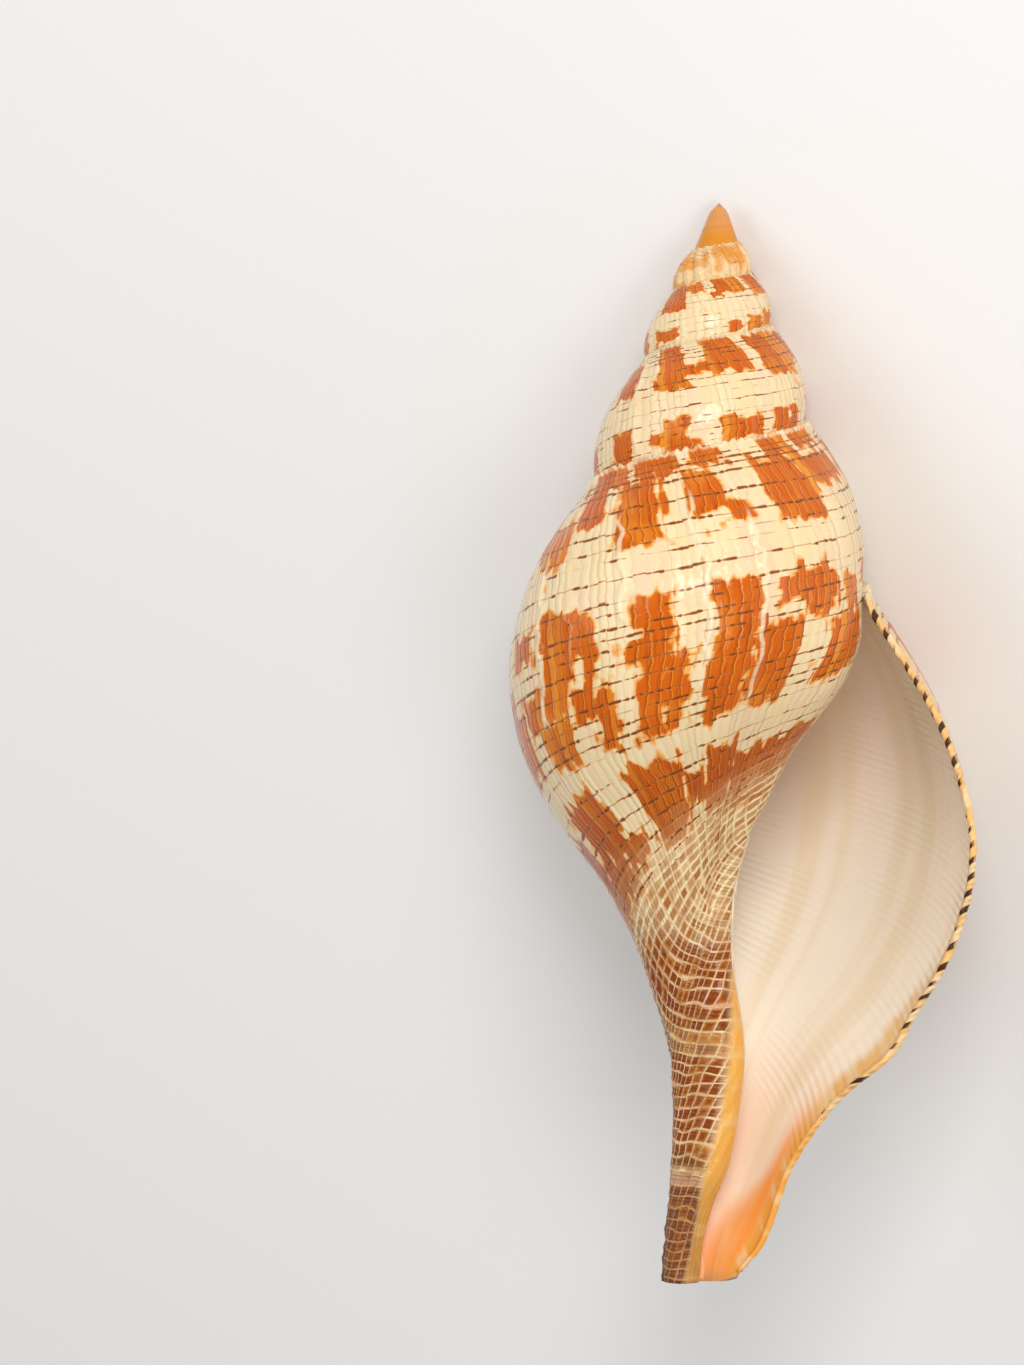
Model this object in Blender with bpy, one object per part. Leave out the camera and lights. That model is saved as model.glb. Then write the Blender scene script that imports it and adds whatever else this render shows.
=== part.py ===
# Tulip shell: one coiled sea-snail shell, hollow, with an open mouth and an open canal.
#
# The shell is worked out in coil coordinates. turn counts whorls back from the outer lip
# (0 at the lip, 1 one whorl older, and so on), and depth runs down the coil axis from the
# pointed apex to the tip of the canal, as a fraction of the shell's length. Each whorl is
# the one after it made smaller by DEPTH_RATIO along the axis and RADIUS_RATIO across it.
# The finished shell lies on its back with the mouth up, the apex towards +Y, the canal
# towards -Y and the outer lip towards +X. Units are metres.

import math

import bmesh
import bpy
import numpy as np

SHELL_LENGTH = 0.150
DEPTH_RATIO = 1.78
RADIUS_RATIO = 1.66
SUTURE_DEPTH = 0.3622
# Degrees that roll and pitch the shell into its resting pose, on two whorls of its back.
REST_ROLL = 14.0
REST_PITCH = -23.0

LIP_THICKNESS = 0.0008
WALL_THICKNESS = 0.0017
WALL_BUILDUP_TURNS = 0.04
# The wall thins towards the apex as this power of a whorl's radius.
WALL_TAPER_POWER = 0.7
SLOPE_STEP = 0.002

# The hollow starts just below the suture, where its two faces keep a small gap, and its
# rows crowd towards that corner. Near the canal's end its floor eases back to a flat tip.
CORNER_DEPTH = 0.012
CORNER_GAP = 0.0008
ROW_CROWDING = 1.25
FLOOR_EASE = 6
CANAL_END_DEPTH = 1.10
# Turn of the outer face that the pillar side of the canal's tip starts to join.
TIP_TURN = 0.55
# How far the canal's tip bends back from the mouth, in X and Z, from the depth it starts at.
CANAL_BEND = (-0.005, -0.019)
BEND_START = 0.6

LIP_FLARE = 0.057
LIP_FLARE_TURNS = 0.06
BODY_SWELL = 0.018
BODY_SWELL_TURNS = 0.35
FLARE_CENTRE = 0.618
FLARE_WIDTH = 0.15
# Where the lip stands out further, above the canal and along it: depth, width, share.
LIP_BULGES = ((0.785, 0.028, 0.065), (0.965, 0.055, 0.16))
LIP_BULGE_TURNS = 0.08

PILLAR_SHRINK = 0.4
PILLAR_SHRINK_TURNS = 0.2
# The whorl's face rolls over into the pillar between these turns and below these depths.
PILLAR_TURNS = (0.74, 0.98)
PILLAR_DEPTHS = (0.56, 0.68)
# The same turns at the canal's tip, where the canal lies open to the front, and the depths
# between which it opens.
CANAL_TURNS = (0.66, 0.84)
CANAL_OPENS = (0.80, 1.0)
# Before the mouth's edge the pillar keeps the outline it has there, eased over these turns.
PILLAR_EASE = 0.06
# Turns over which the older whorl swells beside the mouth, and then goes back inwards.
SWELLING_TURNS = (0.84, 1.0, 1.08, 1.5)

BODY_COLUMNS = 40
BODY_ROWS = 28
UPPER_ROW_SHARE = 1.3
LIP_COLUMNS = 3
# Columns and rows of each whorl of the spire, from the largest to the smallest.
SPIRE_WHORLS = ((36, 8), (28, 7), (22, 6), (18, 5), (14, 4))
# Columns, wall rows and pillar rows of each whorl of the hollow, from the mouth inwards.
HOLLOW_WHORLS = ((40, 20, 14), (26, 14, 13), (18, 9, 9))

SHELL_COLOUR = (0.78, 0.58, 0.38, 1.0)
SHELL_ROUGHNESS = 0.28

# Outline of the last whorl at the lip: depth and radius, as fractions of the length.
# It runs from above the suture, over the shoulder and the widest part, down to the canal.
OUTLINE = np.array([
    (0.30, 0.1055), (0.36, 0.146), (0.41, 0.180), (0.47, 0.214),
    (0.53, 0.2325), (0.59, 0.2395), (0.65, 0.2325), (0.71, 0.215),
    (0.77, 0.179), (0.83, 0.130), (0.89, 0.0905), (0.95, 0.0635),
    (1.02, 0.0375), (1.10, 0.0290), (1.35, 0.034), (1.85, 0.052),
])

# Outline of the central pillar where it shows in the mouth, in the same fractions.
PILLAR_OUTLINE = np.array([
    (0.40, 0.022), (0.62, 0.022), (0.65, 0.0235), (0.70, 0.031), (0.75, 0.040), (0.80, 0.0485),
    (0.84, 0.046), (0.88, 0.0405), (0.905, 0.0345), (0.932, 0.0225), (0.969, 0.0120),
    (1.00, 0.0085), (1.10, 0.008),
])

# How much the older whorl swells beside the mouth: depth and radius.
SWELLING_OUTLINE = np.array([
    (0.34, 0.0), (0.37, 0.006), (0.42, 0.022), (0.46, 0.033), (0.506, 0.031),
    (0.555, 0.029), (0.60, 0.0205), (0.65, 0.008), (0.70, 0.0), (0.74, 0.0),
])


def remove_objects():
    for scene_object in list(bpy.data.objects):
        bpy.data.objects.remove(scene_object, do_unlink=True)


def smooth_step(value, start, end):
    ratio = np.clip((value - start) / (end - start), 0.0, 1.0)
    return ratio * ratio * (3.0 - 2.0 * ratio)


def bell(value, centre, width):
    return np.exp(-(((value - centre) / width) ** 2))


def outline_radius(outline, depth):
    # Cubic curve through the outline's points; each slope is the weighted mean beside it.
    knots, radii = outline[:, 0], outline[:, 1]
    steps = np.diff(knots)
    rises = np.diff(radii) / steps
    inner = (steps[1:] * rises[:-1] + steps[:-1] * rises[1:]) / (steps[1:] + steps[:-1])
    slopes = np.concatenate([rises[:1], inner, rises[-1:]])
    depth = np.clip(depth, knots[0], knots[-1])
    low = np.clip(np.searchsorted(knots, depth) - 1, 0, len(knots) - 2)
    step = steps[low]
    part = (depth - knots[low]) / step
    rest = 1.0 - part
    return (rest * rest * (1.0 + 2.0 * part) * radii[low]
            + part * rest * rest * step * slopes[low]
            + part * part * (3.0 - 2.0 * part) * radii[low + 1]
            - part * part * rest * step * slopes[low + 1])


def outer_radius(turn, depth):
    # The outline shrunk to its whorl, with the flare of the lip and the swell behind it.
    own_depth = depth * DEPTH_RATIO ** turn
    swell = (LIP_FLARE * np.exp(-turn / LIP_FLARE_TURNS)
             + BODY_SWELL * np.exp(-((turn / BODY_SWELL_TURNS) ** 2)))
    shape = 1.0 + swell * bell(own_depth, FLARE_CENTRE, FLARE_WIDTH)
    for depth_there, width, share in LIP_BULGES:
        shape = shape + share * bell(own_depth, depth_there, width) * np.exp(-turn / LIP_BULGE_TURNS)
    return RADIUS_RATIO ** -turn * outline_radius(OUTLINE, own_depth) * shape


def swelling(turn, depth):
    # How far the older whorl swells beside the mouth.
    start, full, fading, end = SWELLING_TURNS
    share = smooth_step(turn, start, full) * (1.0 - smooth_step(turn, fading, end))
    return share * outline_radius(SWELLING_OUTLINE, depth)


def face_radius(turn, depth):
    # Outer face of a whorl, and past the mouth's inner edge the pillar that it rolls into.
    inside = turn - 1.0
    opened = smooth_step(depth, *CANAL_OPENS)
    start = PILLAR_TURNS[0] + (CANAL_TURNS[0] - PILLAR_TURNS[0]) * opened
    end = PILLAR_TURNS[1] + (CANAL_TURNS[1] - PILLAR_TURNS[1]) * opened
    share = smooth_step(turn, start, end)
    share = share * smooth_step(depth * DEPTH_RATIO ** inside, *PILLAR_DEPTHS)
    inside = 0.5 * (inside + np.sqrt(inside * inside + PILLAR_EASE * PILLAR_EASE))
    shrink = 1.0 - PILLAR_SHRINK * (1.0 - np.exp(-inside / PILLAR_SHRINK_TURNS))
    own_depth = depth * DEPTH_RATIO ** inside
    pillar = shrink * RADIUS_RATIO ** -inside * outline_radius(PILLAR_OUTLINE, own_depth)
    return (1.0 - share) * outer_radius(turn, depth) + share * pillar + swelling(turn, depth)


def suture_depth(turn):
    return SUTURE_DEPTH * DEPTH_RATIO ** -turn


def floor_depth(inside):
    # Depth at which the outer wall and the pillar meet, where the hollow ends.
    return np.minimum(1.0, CANAL_END_DEPTH * DEPTH_RATIO ** -inside)


def wall_thickness(inside):
    built = 1.0 - np.exp(-inside / WALL_BUILDUP_TURNS)
    full = LIP_THICKNESS + (WALL_THICKNESS - LIP_THICKNESS) * built
    return full * RADIUS_RATIO ** (-WALL_TAPER_POWER * inside) / SHELL_LENGTH


def place_points(turn, radius, depth):
    # Coil coordinates to metres: mouth up, apex towards +Y.
    angle = 2.0 * math.pi * turn
    bend = np.clip((depth - BEND_START) / (1.0 - BEND_START), 0.0, 1.0) ** 2
    return SHELL_LENGTH * np.stack([
        radius * np.cos(angle) + CANAL_BEND[0] * bend,
        -depth,
        -radius * np.sin(angle) + CANAL_BEND[1] * bend], axis=-1)


def slope_step(inside):
    return SLOPE_STEP * RADIUS_RATIO ** -inside


def wall_points(inside, rows):
    # Inner face of the outer wall: the outer face moved in along its slope.
    start = suture_depth(inside) * (1.0 + CORNER_DEPTH)
    depth = start + (floor_depth(inside) - start) * rows ** ROW_CROWDING
    radius, above, below = (
        outer_radius(inside, place) + swelling(inside, place)
        for place in (depth, depth - slope_step(inside), depth + slope_step(inside)))
    slope = (below - above) / (2.0 * slope_step(inside))
    length = np.sqrt(1.0 + slope * slope)
    thickness = wall_thickness(inside)
    radius = radius - thickness / length
    depth = depth + thickness * slope / length * (1.0 - rows ** FLOOR_EASE)
    gap = CORNER_GAP / SHELL_LENGTH * RADIUS_RATIO ** -inside
    radius = np.maximum(radius, face_radius(1.0 + inside, depth) + gap)
    return place_points(inside, radius, depth)


class ShellMesh:
    # Collects points and faces; each add or stitch returns or joins rows of point numbers.

    def __init__(self):
        self.points = []
        self.faces = []
        self.count = 0

    def add_points(self, points):
        flat = points.reshape(-1, 3)
        numbers = np.arange(self.count, self.count + len(flat)).reshape(points.shape[:-1])
        self.points.append(flat)
        self.count += len(flat)
        return numbers

    def add_grid(self, points):
        numbers = self.add_points(points)
        quads = np.stack([numbers[:-1, :-1], numbers[1:, :-1], numbers[1:, 1:], numbers[:-1, 1:]], -1)
        self.faces.extend(quads.reshape(-1, 4).tolist())
        return numbers

    def get_points(self, numbers):
        return np.concatenate(self.points)[numbers]

    def stitch(self, first, second, first_places=None, second_places=None):
        # Joins two rows of points with triangles, stepping along both in the order of
        # their places, which run evenly from 0 to 1 unless they are given.
        first_places = np.linspace(0.0, 1.0, len(first)) if first_places is None else first_places
        second_places = np.linspace(0.0, 1.0, len(second)) if second_places is None else second_places
        first_steps = 0.5 * (first_places[1:] + first_places[:-1])
        second_steps = 0.5 * (second_places[1:] + second_places[:-1])
        order = np.argsort(np.concatenate([first_steps, second_steps]), kind="stable")
        moves_first = order < len(first_steps)
        at_first = np.cumsum(moves_first) - moves_first
        at_second = np.cumsum(~moves_first) - ~moves_first
        for moved, i, j in zip(moves_first, at_first, at_second):
            corners = [first[i], first[i + 1], second[j]] if moved else [first[i], second[j + 1], second[j]]
            if len(set(corners)) == 3:
                self.faces.append([int(corner) for corner in corners])


def add_body(mesh):
    # Outside of the last whorl, down to the end of the canal. Its last column passes the
    # point where the lip is attached; returns the grid and that point's row.
    attachment = (SUTURE_DEPTH - suture_depth(1.0)) / (1.0 - suture_depth(1.0))
    upper_rows = round(BODY_ROWS * attachment * UPPER_ROW_SHARE)
    rows = np.concatenate([
        np.linspace(0.0, attachment, upper_rows, endpoint=False),
        np.linspace(attachment, 1.0, BODY_ROWS - upper_rows + 1)])
    turn = np.linspace(0.0, 1.0, BODY_COLUMNS + 1)[:, None]
    start = suture_depth(turn)
    depth = start + (1.0 - start) * rows
    return mesh.add_grid(place_points(turn, face_radius(turn, depth), depth)), upper_rows


def add_spire(mesh, below_edge, last_column):
    # Whorl after whorl up to the apex; each stitches to the whorl below it at the suture.
    for whorl, (columns, rows) in enumerate(SPIRE_WHORLS, start=1):
        turn = whorl + np.linspace(0.0, 1.0, columns + 1)[1:, None]
        start = suture_depth(turn)
        depth = start + (suture_depth(turn - 1.0) - start) * np.linspace(0.0, 1.0, rows + 1)
        numbers = mesh.add_grid(place_points(turn, outer_radius(turn, depth), depth))
        mesh.stitch(last_column, numbers[0])
        mesh.stitch(below_edge, np.concatenate([last_column[-1:], numbers[:, -1]]))
        below_edge = np.concatenate([last_column[:1], numbers[:, 0]])
        last_column = numbers[-1]
    apex = mesh.add_points(place_points(0.0, np.zeros(1), np.zeros(1)))
    mesh.stitch(below_edge, apex)
    mesh.stitch(np.concatenate([apex, last_column]), below_edge[:1])


def add_hollow_whorl(mesh, start_turn, columns, wall_rows, pillar_rows):
    # One whorl of the hollow: the outer wall's inner face, and the pillar and older whorl.
    inside = start_turn + np.linspace(0.0, 1.0, columns + 1)[:, None]
    wall = wall_points(inside, np.linspace(0.0, 1.0, wall_rows + 1))
    start = suture_depth(inside) * (1.0 + CORNER_DEPTH)
    rows = np.linspace(0.0, 1.0, pillar_rows + 1) ** ROW_CROWDING
    depth = start + (floor_depth(inside) - start) * rows
    pillar = place_points(1.0 + inside, face_radius(1.0 + inside, depth), depth)
    if start_turn > 0:
        wall = wall[1:]
    return mesh.add_grid(wall), mesh.add_grid(pillar[1:])


def add_hollow(mesh, body, attached_row):
    # The hollow winds up inside the whorls. Its two faces join at the top corner, along
    # the floor of the canal, at the blind inner end and around the canal's open tip.
    pillar_end = body[-1, attached_row:]
    open_wall, wall_end = None, None
    for whorl, (columns, wall_rows, pillar_rows) in enumerate(HOLLOW_WHORLS):
        wall, pillar = add_hollow_whorl(mesh, whorl, columns, wall_rows, pillar_rows)
        mesh.stitch(pillar_end, pillar[0])
        corner, floor = np.append(pillar_end[:1], pillar[:, 0]), pillar[:, -1]
        if open_wall is None:
            open_wall = wall
            open_columns = int(np.sum(floor_depth(np.linspace(0.0, 1.0, columns + 1)) >= 1.0)) - 1
            open_floor = floor[:open_columns]
            mesh.stitch(corner, wall[:, 0])
            mesh.stitch(floor[open_columns - 1:], wall[open_columns:, -1])
        else:
            mesh.stitch(wall_end, wall[0])
            mesh.stitch(corner, np.append(wall_end[:1], wall[:, 0]))
            mesh.stitch(np.append(pillar_end[-1:], floor), np.append(wall_end[-1:], wall[:, -1]))
        pillar_end, wall_end = pillar[-1], wall[-1]
    mesh.stitch(wall_end, pillar_end)

    tip = np.concatenate([open_wall[:open_columns + 1, -1], open_floor[::-1], body[-1:, -1]])
    tip_places = np.concatenate([
        np.linspace(0.0, open_columns / BODY_COLUMNS, open_columns + 1),
        np.linspace(TIP_TURN, 1.0, open_columns + 1)])
    mesh.stitch(body[:, -1], tip, np.linspace(0.0, 1.0, BODY_COLUMNS + 1), tip_places)
    return open_wall[0]


def add_lip(mesh, outer_numbers, inner_numbers, attachment):
    # The lip's edge, rounded over from the outer face to the inner face.
    outer, inner_edge = mesh.get_points(outer_numbers), mesh.get_points(inner_numbers)
    share = np.linspace(0.0, 1.0, len(outer))
    inner_share = np.linspace(0.0, 1.0, len(inner_edge))
    inner = np.stack([np.interp(share, inner_share, inner_edge[:, axis]) for axis in range(3)], -1)
    middle, across = 0.5 * (outer + inner), 0.5 * (outer - inner)
    bulge = np.linalg.norm(across, axis=1)[:, None] * np.array([0.0, 0.0, 1.0])
    columns = [outer_numbers]
    for column in range(1, LIP_COLUMNS):
        angle = math.pi * column / LIP_COLUMNS
        columns.append(mesh.add_points(middle + across * math.cos(angle) + bulge * math.sin(angle)))
        mesh.stitch(columns[-2], columns[-1])
    mesh.stitch(columns[-1], inner_numbers)
    columns.append(inner_numbers)
    mesh.stitch(np.array([column[0] for column in columns]), attachment)
    mesh.stitch(np.array([column[-1] for column in columns[1:]]), outer_numbers[-1:])


def rest_points(points):
    # Turns the shell into its resting pose and puts its lowest point on the floor.
    roll, pitch = math.radians(REST_ROLL), math.radians(REST_PITCH)
    turn_roll = np.array([
        [math.cos(roll), 0.0, math.sin(roll)],
        [0.0, 1.0, 0.0],
        [-math.sin(roll), 0.0, math.cos(roll)]])
    turn_pitch = np.array([
        [1.0, 0.0, 0.0],
        [0.0, math.cos(pitch), -math.sin(pitch)],
        [0.0, math.sin(pitch), math.cos(pitch)]])
    points = points @ turn_roll.T @ turn_pitch.T
    low, high = points.min(axis=0), points.max(axis=0)
    return points - np.array([(low[0] + high[0]) / 2.0, (low[1] + high[1]) / 2.0, low[2]])


def make_shell_material():
    material = bpy.data.materials.new("shell")
    material.use_nodes = True
    principled = material.node_tree.nodes["Principled BSDF"]
    principled.inputs["Base Color"].default_value = SHELL_COLOUR
    principled.inputs["Roughness"].default_value = SHELL_ROUGHNESS
    principled.inputs["Metallic"].default_value = 0.0
    return material


def make_shell():
    shell = ShellMesh()
    body, attached_row = add_body(shell)
    add_spire(shell, body[:, 0], body[-1, :attached_row + 1])
    lip_inside = add_hollow(shell, body, attached_row)
    add_lip(shell, body[0], lip_inside, body[-1:, attached_row])

    mesh = bpy.data.meshes.new("shell")
    mesh.from_pydata(rest_points(np.concatenate(shell.points)).tolist(), [], shell.faces)
    mesh.materials.append(make_shell_material())
    outside = bmesh.new()
    outside.from_mesh(mesh)
    bmesh.ops.recalc_face_normals(outside, faces=outside.faces)
    outside.to_mesh(mesh)
    outside.free()
    bpy.context.collection.objects.link(bpy.data.objects.new("shell", mesh))


remove_objects()
make_shell()
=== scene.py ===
import math

import bmesh
import bpy
import numpy as np
from mathutils import Matrix, Vector


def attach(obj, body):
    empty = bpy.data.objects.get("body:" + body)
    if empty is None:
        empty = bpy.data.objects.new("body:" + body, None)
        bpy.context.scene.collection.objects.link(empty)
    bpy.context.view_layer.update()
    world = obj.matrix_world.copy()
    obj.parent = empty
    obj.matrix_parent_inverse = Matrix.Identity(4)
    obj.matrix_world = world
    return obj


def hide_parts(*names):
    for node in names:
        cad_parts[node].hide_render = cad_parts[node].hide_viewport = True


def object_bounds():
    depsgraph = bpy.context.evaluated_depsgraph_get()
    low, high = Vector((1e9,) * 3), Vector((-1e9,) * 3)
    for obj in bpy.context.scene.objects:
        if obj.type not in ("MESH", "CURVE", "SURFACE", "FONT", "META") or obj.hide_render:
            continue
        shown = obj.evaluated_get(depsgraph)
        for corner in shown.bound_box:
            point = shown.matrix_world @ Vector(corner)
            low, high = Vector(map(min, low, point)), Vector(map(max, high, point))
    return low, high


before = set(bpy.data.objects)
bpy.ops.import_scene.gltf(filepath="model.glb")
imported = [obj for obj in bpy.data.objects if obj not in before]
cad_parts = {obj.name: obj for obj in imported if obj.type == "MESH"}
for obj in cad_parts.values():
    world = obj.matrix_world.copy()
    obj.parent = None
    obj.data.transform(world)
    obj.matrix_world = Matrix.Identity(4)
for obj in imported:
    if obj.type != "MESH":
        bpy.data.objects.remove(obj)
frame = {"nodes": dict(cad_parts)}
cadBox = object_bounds()
print("frame loaded:", ", ".join(frame["nodes"]))

# The shell is worked out in coil coordinates: turn counts whorls back from the outer lip,
# depth runs down the coil axis from the apex (0) to the tip of the canal (1), and a whorl's
# own depth is its depth once it is grown to the size of the last whorl.
coil = {
    "depthRatio": 1.78,  # a whorl is this much shorter than the next one
    "radiusRatio": 1.66,  # and this much narrower
    "sutureDepth": 0.3622,  # of the seam above the last whorl, at the lip
    "lipFlare": (0.057, 0.06),  # share of the radius, turns it fades over
    "bodySwell": (0.018, 0.35),  # the same for the back of the last whorl
    "flarePlace": (0.618, 0.15),  # own depth, half width
    "lipBulges": ((0.785, 0.028, 0.065), (0.965, 0.055, 0.16)),  # own depth, half width, share
    "bulgeTurns": 0.08,
    "canalBend": (-0.005, -0.019),  # sideways and back at the canal's tip
    "bendStart": 0.6,
    "restRoll": 14.0,  # degrees, as the shell lies, mouth up
    "restPitch": -23.0,
    "pillarTurns": (0.74, 0.98),  # where the outer face rolls into the pillar
    "canalTurns": (0.66, 0.84),  # the same at the canal's tip, where the canal opens to the front
    "canalOpens": (0.80, 1.0),
    "pillarDepths": (0.56, 0.68),
    "pillarShrink": (0.4, 0.2),  # share that the pillar thins by inwards, turns it takes
    "pillarEase": 0.06,
    "swellingTurns": (0.84, 1.0, 1.08, 1.5),  # where the older whorl swells beside the mouth
    "canalEnd": 1.10,  # own depth of the hollow's floor
    "apexTurns": (3.7, 4.7),  # where the whorls even out into the smooth cone of the apex
    "apexCone": (0.366, 0.0054, 0.0035),  # radius for each depth, and the rounding of the tip
    "endRound": (0.012, 0.030, 0.96),  # the lip's lower end: depth cut off, turns, start
}
# Outline of the last whorl at the lip, and of the pillar in the mouth: own depth, radius.
bodyOutline = np.array([
    (0.30, 0.1055), (0.36, 0.146), (0.41, 0.180), (0.47, 0.214),
    (0.53, 0.2325), (0.59, 0.2395), (0.65, 0.2325), (0.71, 0.215),
    (0.77, 0.179), (0.83, 0.130), (0.89, 0.0905), (0.95, 0.0635),
    (1.02, 0.0375), (1.10, 0.0290), (1.35, 0.034), (1.85, 0.052),
])
pillarOutline = np.array([
    (0.40, 0.022), (0.62, 0.022), (0.65, 0.0235), (0.70, 0.031), (0.75, 0.040), (0.80, 0.0485),
    (0.84, 0.046), (0.88, 0.0405), (0.905, 0.0345), (0.932, 0.0225), (0.969, 0.0120),
    (1.00, 0.0085), (1.10, 0.008),
])
# How much the older whorl swells beside the mouth: depth, radius.
swellingOutline = np.array([
    (0.34, 0.0), (0.37, 0.006), (0.42, 0.022), (0.46, 0.033), (0.506, 0.031),
    (0.555, 0.029), (0.60, 0.0205), (0.65, 0.008), (0.70, 0.0), (0.74, 0.0),
])

# Columns and rows of each grid of points, and its rectangle on the texture map.
grids = {
    "bodyColumns": 400,
    "bodyRows": (20, 34, 38, 78),  # beads, down to the lip's attachment, to the base, to the tip
    "bodyShares": (0.055, 0.42),  # where the beads and the body end, as shares of the depth
    "lipColumns": 7,
    "spire": ((240, 30), (150, 24), (110, 18), (80, 14), (54, 10), (40, 8)),
    "hollow": ((110, 0, 32), (50, 20, 16), (30, 12, 10)),  # no wall rows: they meet the lines
    "bodyPlace": (0.01, 0.43, 0.99, 0.99),
    "spirePlaces": ((0.01, 0.30, 0.60, 0.42), (0.61, 0.30, 0.99, 0.42), (0.01, 0.24, 0.30, 0.29),
                    (0.31, 0.24, 0.55, 0.29), (0.56, 0.24, 0.75, 0.29), (0.76, 0.24, 0.99, 0.29)),
    "wallPlaces": ((0.01, 0.16, 0.49, 0.23), (0.01, 0.13, 0.24, 0.155), (0.50, 0.13, 0.74, 0.155)),
    "pillarPlaces": ((0.50, 0.16, 0.99, 0.23), (0.25, 0.13, 0.49, 0.155), (0.75, 0.13, 0.99, 0.155)),
    "stripPlace": (0.002, 0.006, 0.004),  # lowest edge, step and height of the joining strips
    "stripSides": (0.01, 0.98),  # their left edge and width
}


def smoothStep(value, start, end):
    # 0 before start, 1 after end, 3 r^2 - 2 r^3 between.
    ratio = np.clip((value - start) / (end - start), 0.0, 1.0)
    return ratio * ratio * (3.0 - 2.0 * ratio)


def bell(value, centre, width):
    # exp(-((value - centre) / width)^2)
    return np.exp(-(((value - centre) / width) ** 2))


def softMin(first, second, width):
    # The smaller of two values, rounded where they cross.
    return 0.5 * (first + second - np.sqrt((first - second) ** 2 + width * width))


def curve(points, place):
    # Cubic through the points; each slope is the weighted mean of the rises beside it.
    knots, heights = points[:, 0], points[:, 1]
    steps = np.diff(knots)
    rises = np.diff(heights) / steps
    inner = (steps[1:] * rises[:-1] + steps[:-1] * rises[1:]) / (steps[1:] + steps[:-1])
    slopes = np.concatenate([rises[:1], inner, rises[-1:]])
    place = np.clip(place, knots[0], knots[-1])
    low = np.clip(np.searchsorted(knots, place) - 1, 0, len(steps) - 1)
    step = steps[low]
    part = (place - knots[low]) / step
    rest = 1.0 - part
    return (rest * rest * (1.0 + 2.0 * part) * heights[low]
            + part * rest * rest * step * slopes[low]
            + part * part * (3.0 - 2.0 * part) * heights[low + 1]
            - part * part * rest * step * slopes[low + 1])


def valueNoise(x, y, seed):
    # Random heights from -1 to 1 on a unit lattice, smoothly blended between its points.
    size = 128
    lattice = np.random.default_rng(seed).uniform(-1.0, 1.0, (size, size))
    x, y = np.broadcast_arrays(x, y)
    left, low = np.floor(x).astype(int), np.floor(y).astype(int)
    across, up = smoothStep(x - left, 0.0, 1.0), smoothStep(y - low, 0.0, 1.0)
    corner = [lattice[(left + i) % size, (low + j) % size] for i in (0, 1) for j in (0, 1)]
    return ((1 - across) * ((1 - up) * corner[0] + up * corner[1])
            + across * ((1 - up) * corner[2] + up * corner[3]))


def sutureDepth(turn):
    # Depth of the seam above a whorl: the last whorl's, shrunk by the ratio once for each turn.
    return coil["sutureDepth"] * coil["depthRatio"] ** -turn


def outerRadius(turn, depth):
    # The outline shrunk to its whorl, with the flare of the lip and the swell behind it.
    ownDepth = depth * coil["depthRatio"] ** turn
    flare, swell = coil["lipFlare"], coil["bodySwell"]
    grown = flare[0] * np.exp(-turn / flare[1]) + swell[0] * np.exp(-((turn / swell[1]) ** 2))
    shape = 1.0 + grown * bell(ownDepth, *coil["flarePlace"])
    for place, width, share in coil["lipBulges"]:
        shape = shape + share * bell(ownDepth, place, width) * np.exp(-turn / coil["bulgeTurns"])
    radius = coil["radiusRatio"] ** -turn * curve(bodyOutline, ownDepth) * shape
    slope, tipRadius, tipDepth = coil["apexCone"]
    cone = slope * depth + tipRadius * (1.0 - np.exp(-depth / tipDepth))
    return radius + (cone - radius) * smoothStep(turn, *coil["apexTurns"])


def swelling(turn, depth):
    # How far the older whorl swells beside the mouth.
    start, full, fading, end = coil["swellingTurns"]
    return (smoothStep(turn, start, full) * (1.0 - smoothStep(turn, fading, end))
            * curve(swellingOutline, depth))


def faceRadius(turn, depth):
    # Outer face of a whorl, which past the mouth's inner edge rolls into the pillar.
    inside = turn - 1.0
    opened = smoothStep(depth, *coil["canalOpens"])
    (start, end), (startOpened, endOpened) = coil["pillarTurns"], coil["canalTurns"]
    share = (smoothStep(turn, start + (startOpened - start) * opened, end + (endOpened - end) * opened)
             * smoothStep(depth * coil["depthRatio"] ** inside, *coil["pillarDepths"]))
    inside = -softMin(-inside, 0.0, coil["pillarEase"])
    amount, turns = coil["pillarShrink"]
    shrink = 1.0 - amount * (1.0 - np.exp(-inside / turns))
    ownDepth = depth * coil["depthRatio"] ** inside
    pillar = shrink * coil["radiusRatio"] ** -inside * curve(pillarOutline, ownDepth)
    return (1.0 - share) * outerRadius(turn, depth) + share * pillar + swelling(turn, depth)


def coilPoints(turn, radius, depth):
    # (r cos a, -depth, -r sin a) at the angle a = 2 pi turn, with the canal bent back and the
    # lower corner of the lip rounded off.
    angle = 2.0 * math.pi * turn
    cut, turns, start = coil["endRound"]
    depth = depth - cut * np.exp(-np.abs(turn) / turns) * smoothStep(depth, start, 1.0)
    bend = np.clip((depth - coil["bendStart"]) / (1.0 - coil["bendStart"]), 0.0, 1.0) ** 2
    return np.stack([
        radius * np.cos(angle) + coil["canalBend"][0] * bend,
        -depth + 0.0 * radius,
        -radius * np.sin(angle) + coil["canalBend"][1] * bend], axis=-1)


restTurn = (Matrix.Rotation(math.radians(coil["restPitch"]), 3, "X")
            @ Matrix.Rotation(math.radians(coil["restRoll"]), 3, "Y"))
restMatrix = np.array(restTurn)


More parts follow.
